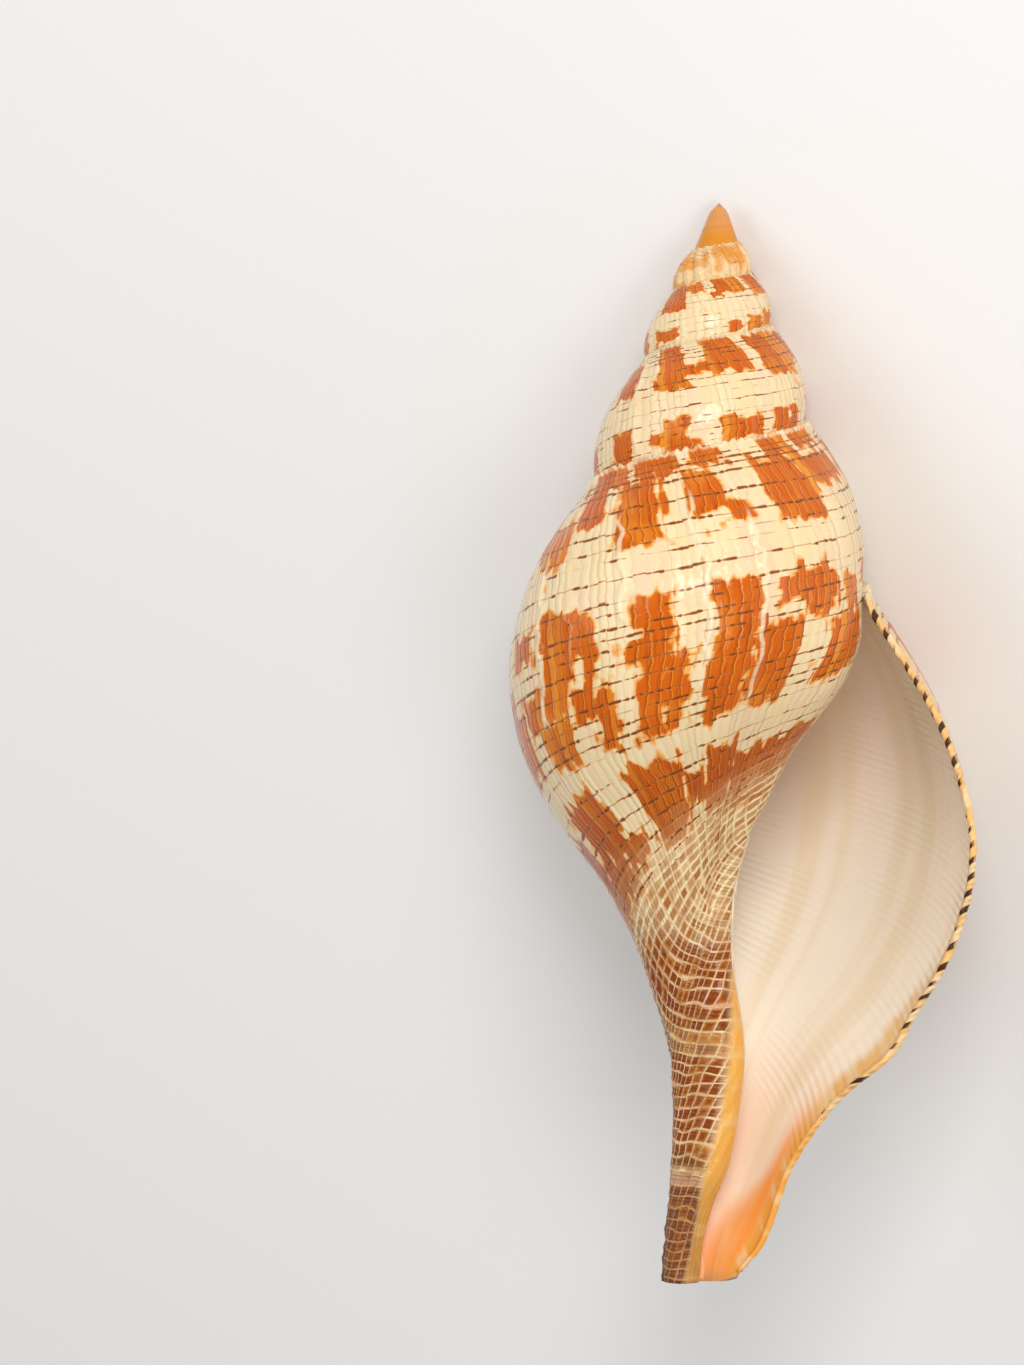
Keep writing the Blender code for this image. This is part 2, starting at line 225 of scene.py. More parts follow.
def fitToFrame():
    # Length and place that give the smooth shell the CAD model's length and its floor, from a
    # coarse grid over every whorl.
    turnSteps, depthSteps = 1201, 161
    turn = np.linspace(0.0, len(grids["spire"]), turnSteps)[:, None]
    start = sutureDepth(turn)
    end = np.where(turn < 1.0, 1.0, sutureDepth(turn - 1.0))
    depth = start + (end - start) * np.linspace(0.0, 1.0, depthSteps)
    radius = np.where(turn <= 1.0, faceRadius(turn, depth), outerRadius(turn, depth))
    points = np.append(coilPoints(turn, radius, depth).reshape(-1, 3), np.zeros((1, 3)), axis=0)
    points = points @ restMatrix.T
    low, high = points.min(axis=0), points.max(axis=0)
    cadLow, cadHigh = np.array(cadBox[0]), np.array(cadBox[1])
    length = (cadHigh[1] - cadLow[1]) / (high[1] - low[1])
    place = 0.5 * (cadLow + cadHigh) - 0.5 * length * (low + high)
    place[2] = cadLow[2] - length * low[2]
    return float(length), place


shellLength, shellPlace = fitToFrame()
millimetre = 0.001 / shellLength  # in the coil's own units, where the shell is 1 long
print("shell length %.1f mm" % (1000.0 * shellLength))

relief = {
    "cordHeight": 0.14,  # in millimetres, as are all heights and thicknesses here
    "rowHeight": 0.6,  # of the lattice's rows, as a share of its cords'
    "cordRows": 41.0,  # rows of the lattice on the canal, for each turn of growth
    "crowdedRows": (3.0, 0.12),  # rows that crowd at the lip, and the turns they fade over
    "growthHeight": 0.09,
    "growthEase": 0.08,  # turns over which growth lines bend round the base and start to lean
    "frillHeight": 0.55,
    "frillTurns": 0.0034,  # half width
    "frillWave": 0.0055,  # turns that a frill wanders to each side
    "frillEnds": 0.03,  # own depth over which it rises and fades
    "threadHeight": 0.08,
    "threads": (0.385, 0.011, 0.3785, 0.0090),  # own depth, half width, first one, spacing
    "grooveDepth": 0.06,
    "grooveWidth": 0.45,  # millimetres to the side, also of the crack
    "breakHeight": 0.30,
    "breakSide": (-0.4, 0.3),  # millimetres over which the healed break's step rises
    "breakLength": 5.0,  # millimetres over which it sinks back
    "crackDepth": 0.15,
    "beadHeight": 0.26,
    "beadRise": 0.75,  # of the seam's scallop above a bead
    "beadRiseWidth": 0.006,  # own depth, as are beadDepth and beadWidth
    "beadRiseTurns": (2.2, 2.8),  # where the seam's scallops fade out
    "beadsPerTurn": 82,
    "beadDepth": 0.3645,
    "beadWidth": 0.0045,
    "smoothTurns": (4.1, 4.5),  # where all relief and markings fade into the smooth apex
    "ribsPerTurn": 17,
    "ribHeight": 0.20,
    "ribTurns": (3.15, 3.45, 4.0, 4.35),  # the turns of the spire that have ribs
    "scallopTurns": 0.0018,  # how far the lip's edge runs out and in
    "scallopFade": 0.012,  # turns
    "lipThickness": 0.8,
    "rimSwell": 1.35,  # how much thicker the rolled edge of the lip is than the wall behind it
    "knobSpacing": 0.0152,  # own depth between the dark knobs on the lip's edge
    "knobHeight": 0.55,
    "knobDirection": (-0.35, 0.0, 1.0),
    "knobDepths": ((0.37, 0.39), (0.86, 0.93)),  # own depth where the knobs start and end
    "slopeStep": 0.002,  # depth over which the wall's slope is measured
    "wallThickness": 1.7,
    "wallBuildup": 0.04,  # turns from the thin lip to the full wall
    "wallTaper": 0.7,  # power of the radius ratio by which the wall thins inwards
    "cornerDepth": 0.012,  # share of the depth that the hollow's top lies below the seam
    "cornerGap": 0.8,  # millimetres between the wall and the older whorl at that corner
    "rowCrowding": 1.25,  # power that crowds the rows at the top corner
    "floorEase": 6,
    "tipTurn": 0.55,  # where the open canal's far edge meets the outer rim of its tip
}
# How far a growth line leans back in turns, by own depth.
growthLean = np.array([
    (0.36, -0.060), (0.40, -0.036), (0.45, -0.020), (0.50, -0.008), (0.57, 0.0), (0.64, 0.002),
    (0.70, -0.004), (0.76, -0.010), (0.85, -0.004), (1.0, 0.0)])
# Dark spiral lines: own depth, strength.
spiralLines = np.array([
    (0.374, 0.45), (0.383, 0.5), (0.392, 0.7), (0.403, 1.0), (0.433, 0.8), (0.466, 0.9), (0.489, 0.35),
    (0.504, 0.2), (0.532, 0.8), (0.565, 0.5), (0.579, 0.25), (0.600, 0.65), (0.613, 0.2),
    (0.628, 0.4), (0.648, 1.0), (0.670, 0.45), (0.697, 0.85), (0.712, 0.35), (0.728, 0.5),
    (0.742, 0.9), (0.757, 0.3), (0.790, 0.35), (0.810, 0.8), (0.830, 0.65), (0.850, 0.9),
    (0.868, 0.5), (0.886, 0.6), (0.903, 0.4), (0.920, 0.3)])
# Raised cords of the base and the canal: own depth, number of cords down to it.
cordNumbers = np.array([(0.80, 0.0), (0.95, 10.5), (1.05, 16.0), (1.20, 21.5), (1.85, 39.0)])
# Where the smooth amber strip of the canal begins: depth, turn.
stripEdge = np.array([
    (0.70, 0.965), (0.75, 0.937), (0.79, 0.908), (0.84, 0.885), (0.877, 0.857), (0.905, 0.826),
    (0.932, 0.826), (0.969, 0.782), (1.00, 0.735)])
# Width of the coloured margin inside the lip: depth, millimetres.
marginWidths = np.array([
    (0.36, 2.6), (0.45, 1.8), (0.60, 1.0), (0.70, 1.8), (0.755, 4.4), (0.80, 2.8), (0.86, 1.6),
    (1.00, 1.0)])
# Wavy raised frills left by pauses in growth: turn, top and bottom own depth, strength.
growthFrills = (
    (0.615, 0.47, 0.70, 1.0), (0.655, 0.44, 0.66, 0.5), (0.712, 0.44, 0.60, 0.9),
    (0.785, 0.42, 0.72, 0.8), (0.838, 0.46, 0.76, 0.8), (0.300, 0.44, 0.62, 0.7),
    (0.215, 0.42, 0.66, 0.5), (0.520, 0.44, 0.70, 0.4), (0.105, 0.40, 0.72, 0.6),
    (1.663, 0.40, 0.63, 0.8), (1.725, 0.40, 0.62, 0.4), (1.300, 0.40, 0.63, 0.5),
)
# A healed break and a crack behind the lip: own depth, turn.
healedBreak = np.array([
    (0.37, 0.235), (0.40, 0.250), (0.47, 0.265), (0.55, 0.272), (0.65, 0.265), (0.72, 0.258),
    (0.78, 0.255), (0.82, 0.262), (0.86, 0.276), (0.90, 0.262), (0.94, 0.253), (0.98, 0.285),
    (1.05, 0.36), (1.30, 0.55)])
crack = np.array([
    (0.39, 0.255), (0.45, 0.275), (0.53, 0.291), (0.61, 0.290), (0.68, 0.275), (0.72, 0.283),
    (0.76, 0.292), (0.79, 0.298), (0.82, 0.312), (0.85, 0.320), (0.88, 0.335)])

# Where colours and markings start and are full, in turns or in depth (own depth for "base").
zones = {
    "glaze": (3.05, 3.4),
    "orange": (4.0, 4.4),
    "apex": (0.014, 0.032),
    "stripSide": (-0.028, 0.022),  # turns past the strip's edge
    "stripInside": (-0.075, -0.045),
    "strip": (0.69, 0.735),
    # painted shade towards the canal's tip
    "stripPaintedShade": (0.86, 1.0),
    "rimSide": (0.012, 0.030),
    "rim": (0.93, 0.97),
    "cells": (0.652, 0.702),
    "base": (0.90, 0.97),
    # inside the mouth: partly its own warmer tint, partly painted shade
    "innerShadeSide": (0.02, 0.28),
    "innerShadeDepths": (0.42, 0.68),
    "channel": (0.76, 0.88),
    "channelSide": (0.08, 0.16),
    "channelEdge": (0.78, 0.88),
    "tipEdge": (0.93, 0.99),
    "pillarTip": (0.90, 0.98),
}

# Orange blotches: turn and own depth of the middle, width in turns, height in own depth.
bodyBlotches = (
    # the band below the suture
    (0.618, 0.462, 0.042, 0.052), (0.664, 0.418, 0.030, 0.045), (0.732, 0.443, 0.042, 0.088),
    (0.804, 0.425, 0.034, 0.055), (0.832, 0.460, 0.026, 0.032), (0.900, 0.442, 0.054, 0.090),
    (0.975, 0.425, 0.075, 0.045), (0.682, 0.376, 0.054, 0.032), (0.755, 0.376, 0.050, 0.032),
    (0.828, 0.376, 0.038, 0.032), (0.930, 0.376, 0.038, 0.032), (0.990, 0.376, 0.048, 0.032),
    (0.177, 0.460, 0.045, 0.072), (0.250, 0.400, 0.045, 0.032),
    (0.233, 0.470, 0.030, 0.052), (0.307, 0.430, 0.020, 0.048), (0.370, 0.430, 0.045, 0.060),
    (0.440, 0.450, 0.044, 0.095), (0.530, 0.445, 0.040, 0.088), (0.585, 0.430, 0.024, 0.050),
    (0.450, 0.380, 0.030, 0.028), (0.535, 0.380, 0.025, 0.026), (0.285, 0.380, 0.020, 0.024),
    (0.110, 0.440, 0.040, 0.060), (0.045, 0.430, 0.030, 0.070),
    # the band round the middle
    (0.580, 0.590, 0.032, 0.034), (0.590, 0.675, 0.030, 0.034), (0.557, 0.700, 0.032, 0.064),
    (0.640, 0.610, 0.034, 0.084), (0.634, 0.670, 0.026, 0.036), (0.625, 0.725, 0.034, 0.044),
    (0.668, 0.597, 0.024, 0.046), (0.675, 0.638, 0.012, 0.040), (0.665, 0.686, 0.025, 0.044),
    (0.687, 0.712, 0.013, 0.066), (0.738, 0.606, 0.028, 0.080), (0.717, 0.640, 0.022, 0.020),
    (0.737, 0.700, 0.024, 0.104), (0.762, 0.700, 0.018, 0.088), (0.814, 0.607, 0.038, 0.084),
    (0.813, 0.700, 0.036, 0.104), (0.857, 0.694, 0.042, 0.112), (0.870, 0.590, 0.036, 0.044),
    (0.902, 0.606, 0.036, 0.062), (0.958, 0.620, 0.022, 0.050), (0.950, 0.700, 0.055, 0.088),
    (0.993, 0.596, 0.024, 0.032), (0.153, 0.597, 0.022, 0.066), (0.172, 0.600, 0.010, 0.044),
    (0.205, 0.612, 0.019, 0.078), (0.223, 0.612, 0.011, 0.072), (0.191, 0.692, 0.018, 0.076),
    (0.166, 0.718, 0.030, 0.036), (0.254, 0.600, 0.022, 0.048), (0.303, 0.572, 0.018, 0.034),
    (0.292, 0.676, 0.010, 0.048), (0.345, 0.608, 0.034, 0.058), (0.376, 0.612, 0.016, 0.070),
    (0.364, 0.700, 0.015, 0.088), (0.393, 0.583, 0.010, 0.034), (0.430, 0.600, 0.018, 0.072),
    (0.432, 0.700, 0.024, 0.098), (0.458, 0.670, 0.020, 0.044), (0.487, 0.612, 0.028, 0.072),
    (0.527, 0.682, 0.036, 0.112), (0.110, 0.690, 0.022, 0.070), (0.070, 0.610, 0.028, 0.072),
    (0.030, 0.680, 0.026, 0.085),
    # the band above the canal
    (0.515, 0.850, 0.045, 0.090), (0.592, 0.820, 0.066, 0.062), (0.562, 0.874, 0.072, 0.048),
    (0.640, 0.868, 0.045, 0.030), (0.720, 0.842, 0.060, 0.100), (0.772, 0.842, 0.024, 0.036),
    (0.816, 0.850, 0.038, 0.096), (0.885, 0.880, 0.080, 0.094), (0.950, 0.870, 0.050, 0.080),
    (0.104, 0.816, 0.036, 0.066), (0.189, 0.820, 0.028, 0.088),
    (0.140, 0.785, 0.020, 0.020), (0.250, 0.830, 0.046, 0.044), (0.330, 0.816, 0.024, 0.040),
    (0.365, 0.816, 0.024, 0.048), (0.422, 0.832, 0.040, 0.074), (0.465, 0.878, 0.040, 0.048),
    (0.150, 0.872, 0.030, 0.026), (0.045, 0.830, 0.035, 0.070),
)
spireBlotches = (
    (1.637, 0.437, 0.040, 0.074), (1.730, 0.420, 0.045, 0.108), (1.780, 0.437, 0.058, 0.032),
    (1.838, 0.405, 0.062, 0.104), (1.940, 0.425, 0.068, 0.108), (1.205, 0.440, 0.058, 0.074),
    (1.290, 0.420, 0.045, 0.104), (1.385, 0.440, 0.052, 0.090), (1.505, 0.425, 0.045, 0.106),
    (1.552, 0.420, 0.028, 0.040), (1.060, 0.430, 0.045, 0.080), (1.130, 0.400, 0.030, 0.050),
    (1.637, 0.604, 0.034, 0.074), (1.710, 0.606, 0.040, 0.030), (1.730, 0.600, 0.028, 0.072),
    (1.752, 0.630, 0.040, 0.026), (1.832, 0.610, 0.060, 0.054), (1.905, 0.610, 0.030, 0.070),
    (1.940, 0.610, 0.028, 0.068), (1.148, 0.612, 0.034, 0.070), (1.225, 0.586, 0.028, 0.042),
    (1.250, 0.620, 0.048, 0.048), (1.350, 0.616, 0.054, 0.060), (1.418, 0.606, 0.034, 0.084),
    (1.496, 0.610, 0.033, 0.066), (1.550, 0.600, 0.028, 0.050), (1.060, 0.610, 0.034, 0.070),
    (2.672, 0.430, 0.075, 0.110), (2.730, 0.392, 0.080, 0.045), (2.860, 0.400, 0.090, 0.075),
    (2.975, 0.410, 0.070, 0.100),
    (2.810, 0.440, 0.030, 0.030), (2.560, 0.590, 0.030, 0.070), (2.655, 0.590, 0.060, 0.040),
    (2.835, 0.600, 0.030, 0.045), (2.900, 0.600, 0.034, 0.060), (2.960, 0.590, 0.030, 0.070),
)


def olderBlotches():
    # On the smaller whorls the same two bands of blotches go on, closer and wider, with room
    # left for those that have a place of their own.
    draw = np.random.default_rng(11)
    start, end, spacing, ownStart, ownEnd = 2.02, 3.5, 0.088, 2.50, 3.02
    blotches = []
    for ownDepth, height in ((0.415, 0.11), (0.605, 0.09)):
        for turn in np.arange(start, end, spacing):
            if ownStart < turn < ownEnd:
                continue
            blotches.append((
                turn + draw.uniform(-0.014, 0.014), ownDepth + draw.uniform(-0.012, 0.012),
                draw.uniform(0.040, 0.072), height * draw.uniform(0.75, 1.1)))
    return blotches


def blotchField(growth, ownDepth):
    # 1 in a blotch, 0.5 at its edge and 0 outside, falling evenly across its border. A blotch
    # reaches a little past half its width and half its height.
    widthShare, heightShare, sideBorder, endBorder = 0.57, 0.54, 0.012, 0.016
    field = np.zeros(np.broadcast(growth, ownDepth).shape)
    for turn, middle, width, height in (*bodyBlotches, *spireBlotches, *olderBlotches()):
        across = (np.abs(growth - turn) - widthShare * width) / sideBorder
        down = (np.abs(ownDepth - middle) - heightShare * height) / endBorder
        field = np.maximum(field, np.clip(0.5 - 0.5 * np.maximum(across, down), 0.0, 1.0))
    return field


colours = {
    "cream": (0.82, 0.63, 0.34),
    "interior": (0.99, 0.88, 0.72),
    "innerTintAndShade": (0.78, 0.52, 0.37),
    # the warmer tint inside the mouth: partly its own colour, partly painted shade
    "strip": (0.82, 0.40, 0.075),
    # painted shade on the strip near the canal's tip
    "stripPaintedShade": (0.42, 0.19, 0.05),
    "channel": (0.95, 0.68, 0.50),
    "channelMiddle": (0.98, 0.80, 0.61),
    "channelEdge": (0.94, 0.34, 0.07),
    "glaze": (0.74, 0.27, 0.015),
    "orange": (0.66, 0.24, 0.02),
    "apex": (0.66, 0.28, 0.085),
}
for name, colour in colours.items():
    colours[name] = np.array(colour)


def blend(under, over, share):
    # The second colour laid over the first by a share for each point.
    return under + (over - under) * share[..., None]


# What the material reads at each corner. "spiral" is the own depth, and "cord" counts the cords
# outside and the knobs of the lip inside.
channels = ("growth", "spiral", "lineCount", "lineGap", "lineStrength", "blotch", "outside",
            "cells", "cord", "row", "breakDistance", "crackDistance", "frill", "lipDistance",
            "margin", "red", "green", "blue")
farAway = 9.0  # millimetres from the break or the crack, or widths of the margin, kept at most
farFromLip = 60.0  # millimetres


def channelOf(values, name):
    # One of the channels for every point.
    return values[..., channels.index(name)]


def lineValues(ownDepth):
    # Number, gap in millimetres and strength of the spiral lines, read evenly between two lines;
    # beyond the first and the last the number stops half way to a next one.
    places, strengths = spiralLines.T
    number = np.interp(ownDepth, places, np.arange(len(places)), -0.5, len(places) - 0.5)
    gap = np.interp(ownDepth, places, np.gradient(places)) / millimetre
    return number, gap, np.interp(ownDepth, places, strengths, 0.0, 0.0)


def ribWave(growth, turn):
    # 1 on a rib of the small whorls and -1 between two, and how much that place is ribbed.
    start, full, fading, end = relief["ribTurns"]
    ribbed = smoothStep(turn, start, full) * (1.0 - smoothStep(turn, fading, end))
    return np.cos(2.0 * math.pi * relief["ribsPerTurn"] * growth), ribbed


def growthOf(turn, depth):
    # Age along the shell in turns: the turn less the lean of the growth lines, but never older
    # than when the canal's tip first reached that depth.
    ring = -np.log(np.maximum(depth, 1e-6)) / math.log(coil["depthRatio"])
    started = 1.0 - np.exp(-turn / relief["growthEase"])
    lean = curve(growthLean, depth * coil["depthRatio"] ** turn) * started
    return softMin(turn, ring, relief["growthEase"]) - lean


def addStrip(ground, strip, depth):
    # The amber strip beside the canal, with painted shade towards its tip.
    ground = blend(ground, colours["strip"], strip)
    return blend(ground, colours["stripPaintedShade"], strip * 0.70 * smoothStep(depth, *zones["stripPaintedShade"]))


def outsideGround(turn, depth, ribs, facesMouth):
    # Colour under the markings: cream, glazed in stains on the small whorls, then orange, with a
    # duller apex, the mouth's colour where the face has turned into it, the amber strip of the
    # canal and the orange corner of the lip. Also returns how far the outside's markings show.
    ownDepth = depth * coil["depthRatio"] ** turn
    growth = growthOf(turn, depth)
    stains = (valueNoise(growth * 13.0, ownDepth * 14.0, 16)
              + 0.5 * valueNoise(growth * 40.0, ownDepth * 9.0, 17))
    stains = smoothStep(stains + 6.0 * (ownDepth - 0.50) ** 2 - 0.15 * ribs, -0.15, 0.45)
    ground = blend(np.broadcast_to(colours["cream"], turn.shape + (3,)), colours["glaze"],
                   smoothStep(turn, *zones["glaze"]) * (0.15 + 0.80 * stains))
    ground = blend(ground, colours["orange"], smoothStep(turn, *zones["orange"]))
    mottle = 0.005 * valueNoise(growth * 11.0, ownDepth * 9.0, 20)
    ground = blend(ground, colours["apex"], 1.0 - smoothStep(depth + mottle, *zones["apex"]))
    ground = blend(ground, colours["interior"], facesMouth)
    pastEdge = turn - np.interp(depth, *stripEdge.T)
    strip = smoothStep(pastEdge, *zones["stripSide"]) * smoothStep(depth, *zones["strip"])
    ground = addStrip(ground, strip, depth)
    rim = (1.0 - smoothStep(turn, *zones["rimSide"])) * smoothStep(depth, *zones["rim"])
    ground = blend(ground, colours["channelEdge"], rim)
    smooth = smoothStep(turn, *relief["smoothTurns"])
    return ground, (1.0 - facesMouth) * (1.0 - strip) * (1.0 - rim) * (1.0 - smooth)


def frillField(growth, ownDepth):
    # A narrow ridge along each wavy frill, faded at its top and bottom.
    ends = relief["frillEnds"]
    field = np.zeros(growth.shape)
    for place, top, bottom, strength in growthFrills:
        wave = relief["frillWave"] * valueNoise(ownDepth * 60.0, place * 40.0, 5)
        reach = (smoothStep(ownDepth, top - ends, top + ends)
                 * smoothStep(-ownDepth, -bottom - ends, -bottom + ends))
        ridge = strength * reach * bell(growth + wave, place, relief["frillTurns"])
        field = np.maximum(field, ridge)
    return field


def outsideValues(turn, depth, facesMouth):
    # What the material reads on the outer face. facesMouth is 1 where the face has turned into
    # the mouth. Distances to the lip, the break and the crack are turns times the way round.
    turn, depth = np.broadcast_arrays(turn, depth)
    ownDepth = depth * coil["depthRatio"] ** turn
    growth = growthOf(turn, depth)
    roundLength = 2.0 * math.pi * faceRadius(turn, depth) / millimetre  # millimetres per turn
    nearLip = turn < 0.75
    breakDistance = (turn - np.interp(ownDepth, *healedBreak.T)) * roundLength
    crackDistance = (turn - np.interp(ownDepth, *crack.T)) * roundLength
    inCrack = nearLip & (ownDepth > crack[0, 0]) & (ownDepth < crack[-1, 0])
    ribs, ribbed = ribWave(growth, turn)
    ground, shown = outsideGround(turn, depth, ribs, facesMouth)
    crowded, crowdedTurns = relief["crowdedRows"]
    row = (growth * relief["cordRows"] - crowded * np.exp(-growth / crowdedTurns)
           + 0.7 * valueNoise(growth * 9.0, ownDepth * 3.0, 12)
           + 0.3 * valueNoise(growth * 45.0, ownDepth * 14.0, 18))
    cord = (np.interp(ownDepth, *cordNumbers.T)
            + 0.2 * valueNoise(growth * 24.0, ownDepth * 30.0, 19))
    number, gap, strength = lineValues(ownDepth)
    weaker = 0.24 * np.clip(turn - 1.0, 0.0, 3.0)  # the lines fade up the spire
    return np.stack([
        growth, ownDepth, number, gap, np.clip(strength - weaker, 0.0, 1.0),
        blotchField(growth, ownDepth) * (1.0 - ribbed), shown,
        smoothStep(depth, *zones["cells"]) * smoothStep(ownDepth, *zones["base"]), cord, row,
        np.clip(np.where(nearLip, breakDistance, farAway), -farAway, farAway),
        np.clip(np.where(inCrack, crackDistance, farAway), -farAway, farAway),
        frillField(growth, ownDepth), np.clip(turn * roundLength, 0.0, farFromLip),
        np.full(turn.shape, farAway), *np.moveaxis(ground, -1, 0)], axis=-1)


def insideGround(inside, depth, onPillar):
    # Cream, darker inwards by a warmer tint that is partly the mouth's own colour and partly painted
    # shade, orange at the canal's outer edge, and an amber strip down the pillar.
    into = smoothStep(inside, *zones["innerShadeSide"]) * (1.0 - smoothStep(depth, *zones["innerShadeDepths"]))
    ground = blend(np.broadcast_to(colours["interior"], inside.shape + (3,)), colours["innerTintAndShade"], into)
    low = smoothStep(depth, *zones["channel"])
    if onPillar:
        ground = blend(ground, colours["channel"], low)
        ground = blend(ground, colours["channelEdge"], 0.8 * smoothStep(depth, *zones["pillarTip"]))
        strip = smoothStep(-inside, *zones["stripInside"]) * smoothStep(depth, *zones["strip"])
        return addStrip(ground, strip, depth)
    ground = blend(ground, colours["channelMiddle"], low)
    ground = blend(ground, colours["channel"], low * smoothStep(inside, *zones["channelSide"]))
    reach = 0.06 + 0.22 * smoothStep(depth, 0.88, 1.0)
    edge = smoothStep(depth, *zones["channelEdge"]) * (1.0 - smoothStep(inside, 0.35 * reach, reach))
    tip = 0.8 * smoothStep(depth, *zones["tipEdge"])
    return blend(ground, colours["channelEdge"], np.maximum(edge, tip))


def insideValues(inside, depth, onPillar):
    # What the material reads in the mouth and the hollow. The margin is the distance to the lip
    # in widths of the coloured margin.
    inside, depth = np.broadcast_arrays(inside, depth)
    ownDepth = depth * coil["depthRatio"] ** inside
    roundLength = 2.0 * math.pi * curve(bodyOutline, ownDepth) / millimetre
    ground = insideGround(inside, depth, onPillar)
    zero = np.zeros(inside.shape)
    knob = ownDepth / relief["knobSpacing"] + 0.4 * valueNoise(ownDepth * 24.0, 0.0, 21)
    distance = zero + farFromLip if onPillar else np.clip(inside * roundLength, 0.0, farFromLip)
    margin = np.clip(distance / np.interp(depth, *marginWidths.T), 0.0, farAway)
    return np.stack([
        inside, ownDepth, *lineValues(ownDepth), zero, zero, zero, knob, zero,
        zero + farAway, zero + farAway, zero, distance, margin,
        *np.moveaxis(ground, -1, 0)], axis=-1)


def outsideHeight(turn, values, fade):
    # Height of the relief in millimetres: cords and rows on the base and canal, growth ridges,
    # frills, ribs, beads below the suture, threads, grooves at the spiral lines, the step of the
    # healed break and the crack.
    value = dict(zip(channels, np.moveaxis(values, -1, 0)))
    growth, ownDepth = value["growth"], value["spiral"]
    size = coil["radiusRatio"] ** -np.minimum(turn, 3.0)
    cords = (smoothStep(ownDepth, 0.82, 0.92) * np.cos(2.0 * math.pi * value["cord"])
             + relief["rowHeight"] * value["cells"] * np.cos(2.0 * math.pi * value["row"]))
    growthWave = (valueNoise(growth * 110.0, ownDepth * 3.0, 1)
                  + 0.6 * valueNoise(growth * 43.0, ownDepth * 2.0, 2))
    beads = bell(ownDepth, relief["beadDepth"], relief["beadWidth"]) * beadWave(growth)
    ribs, ribbed = ribWave(growth, turn)
    middle, width, first, spacing = relief["threads"]
    threads = bell(ownDepth, middle, width) * np.cos(2.0 * math.pi * (ownDepth - first) / spacing)
    lineDistance = np.abs((value["lineCount"] + 0.5) % 1.0 - 0.5) * value["lineGap"]
    groove = bell(lineDistance, 0.0, relief["grooveWidth"]) * value["lineStrength"]
    beyond = -value["breakDistance"]  # millimetres past the break, towards the lip
    sinking = np.exp(-np.maximum(beyond, 0.0) / relief["breakLength"])
    step = smoothStep(beyond, *relief["breakSide"]) * sinking
    crackPit = bell(value["crackDistance"], 0.0, relief["grooveWidth"])
    height = (relief["cordHeight"] * cords
              + relief["growthHeight"] * growthWave
              + relief["frillHeight"] * value["frill"]
              + relief["ribHeight"] / coil["radiusRatio"] ** -3.0 * ribs * ribbed
              + relief["beadHeight"] * beads
              + relief["threadHeight"] * threads
              - relief["grooveDepth"] * groove
              + relief["breakHeight"] * step
              - relief["crackDepth"] * crackPit)
    return height * size * fade * (1.0 - smoothStep(turn, *relief["smoothTurns"]))


def beadWave(growth):
    # 1 on a bead and 0 between two, with beads of unequal spacing and size.
    place = relief["beadsPerTurn"] * growth + valueNoise(growth * 30.0, 0.0, 15)
    size = 0.75 + 0.45 * valueNoise(growth * 50.0, 0.0, 14)
    return (0.5 + 0.5 * np.cos(2.0 * math.pi * place)) * size


def beadRise(turn, values):
    # How far the whorl's upper edge runs up in a small scallop above each bead, as a bell across
    # the seam.
    size = millimetre * coil["radiusRatio"] ** -turn
    size = size * (1.0 - smoothStep(turn, *relief["beadRiseTurns"]))
    across = bell(channelOf(values, "spiral"), coil["sutureDepth"], relief["beadRiseWidth"])
    return relief["beadRise"] * size * beadWave(channelOf(values, "growth")) * across


def raiseGrid(points, height):
    # Moves each point by its height along the grid's own normal, away from the axis.
    along = np.gradient(points, axis=0)
    down = np.gradient(points, axis=1)
    normal = np.cross(along, down)
    normal /= np.maximum(np.linalg.norm(normal, axis=-1, keepdims=True), 1e-12)
    radial = points * np.array([1.0, 0.0, 1.0])
    facing = np.sign(np.sum(normal * radial, axis=-1, keepdims=True))
    return points + normal * facing * (height * millimetre)[..., None]


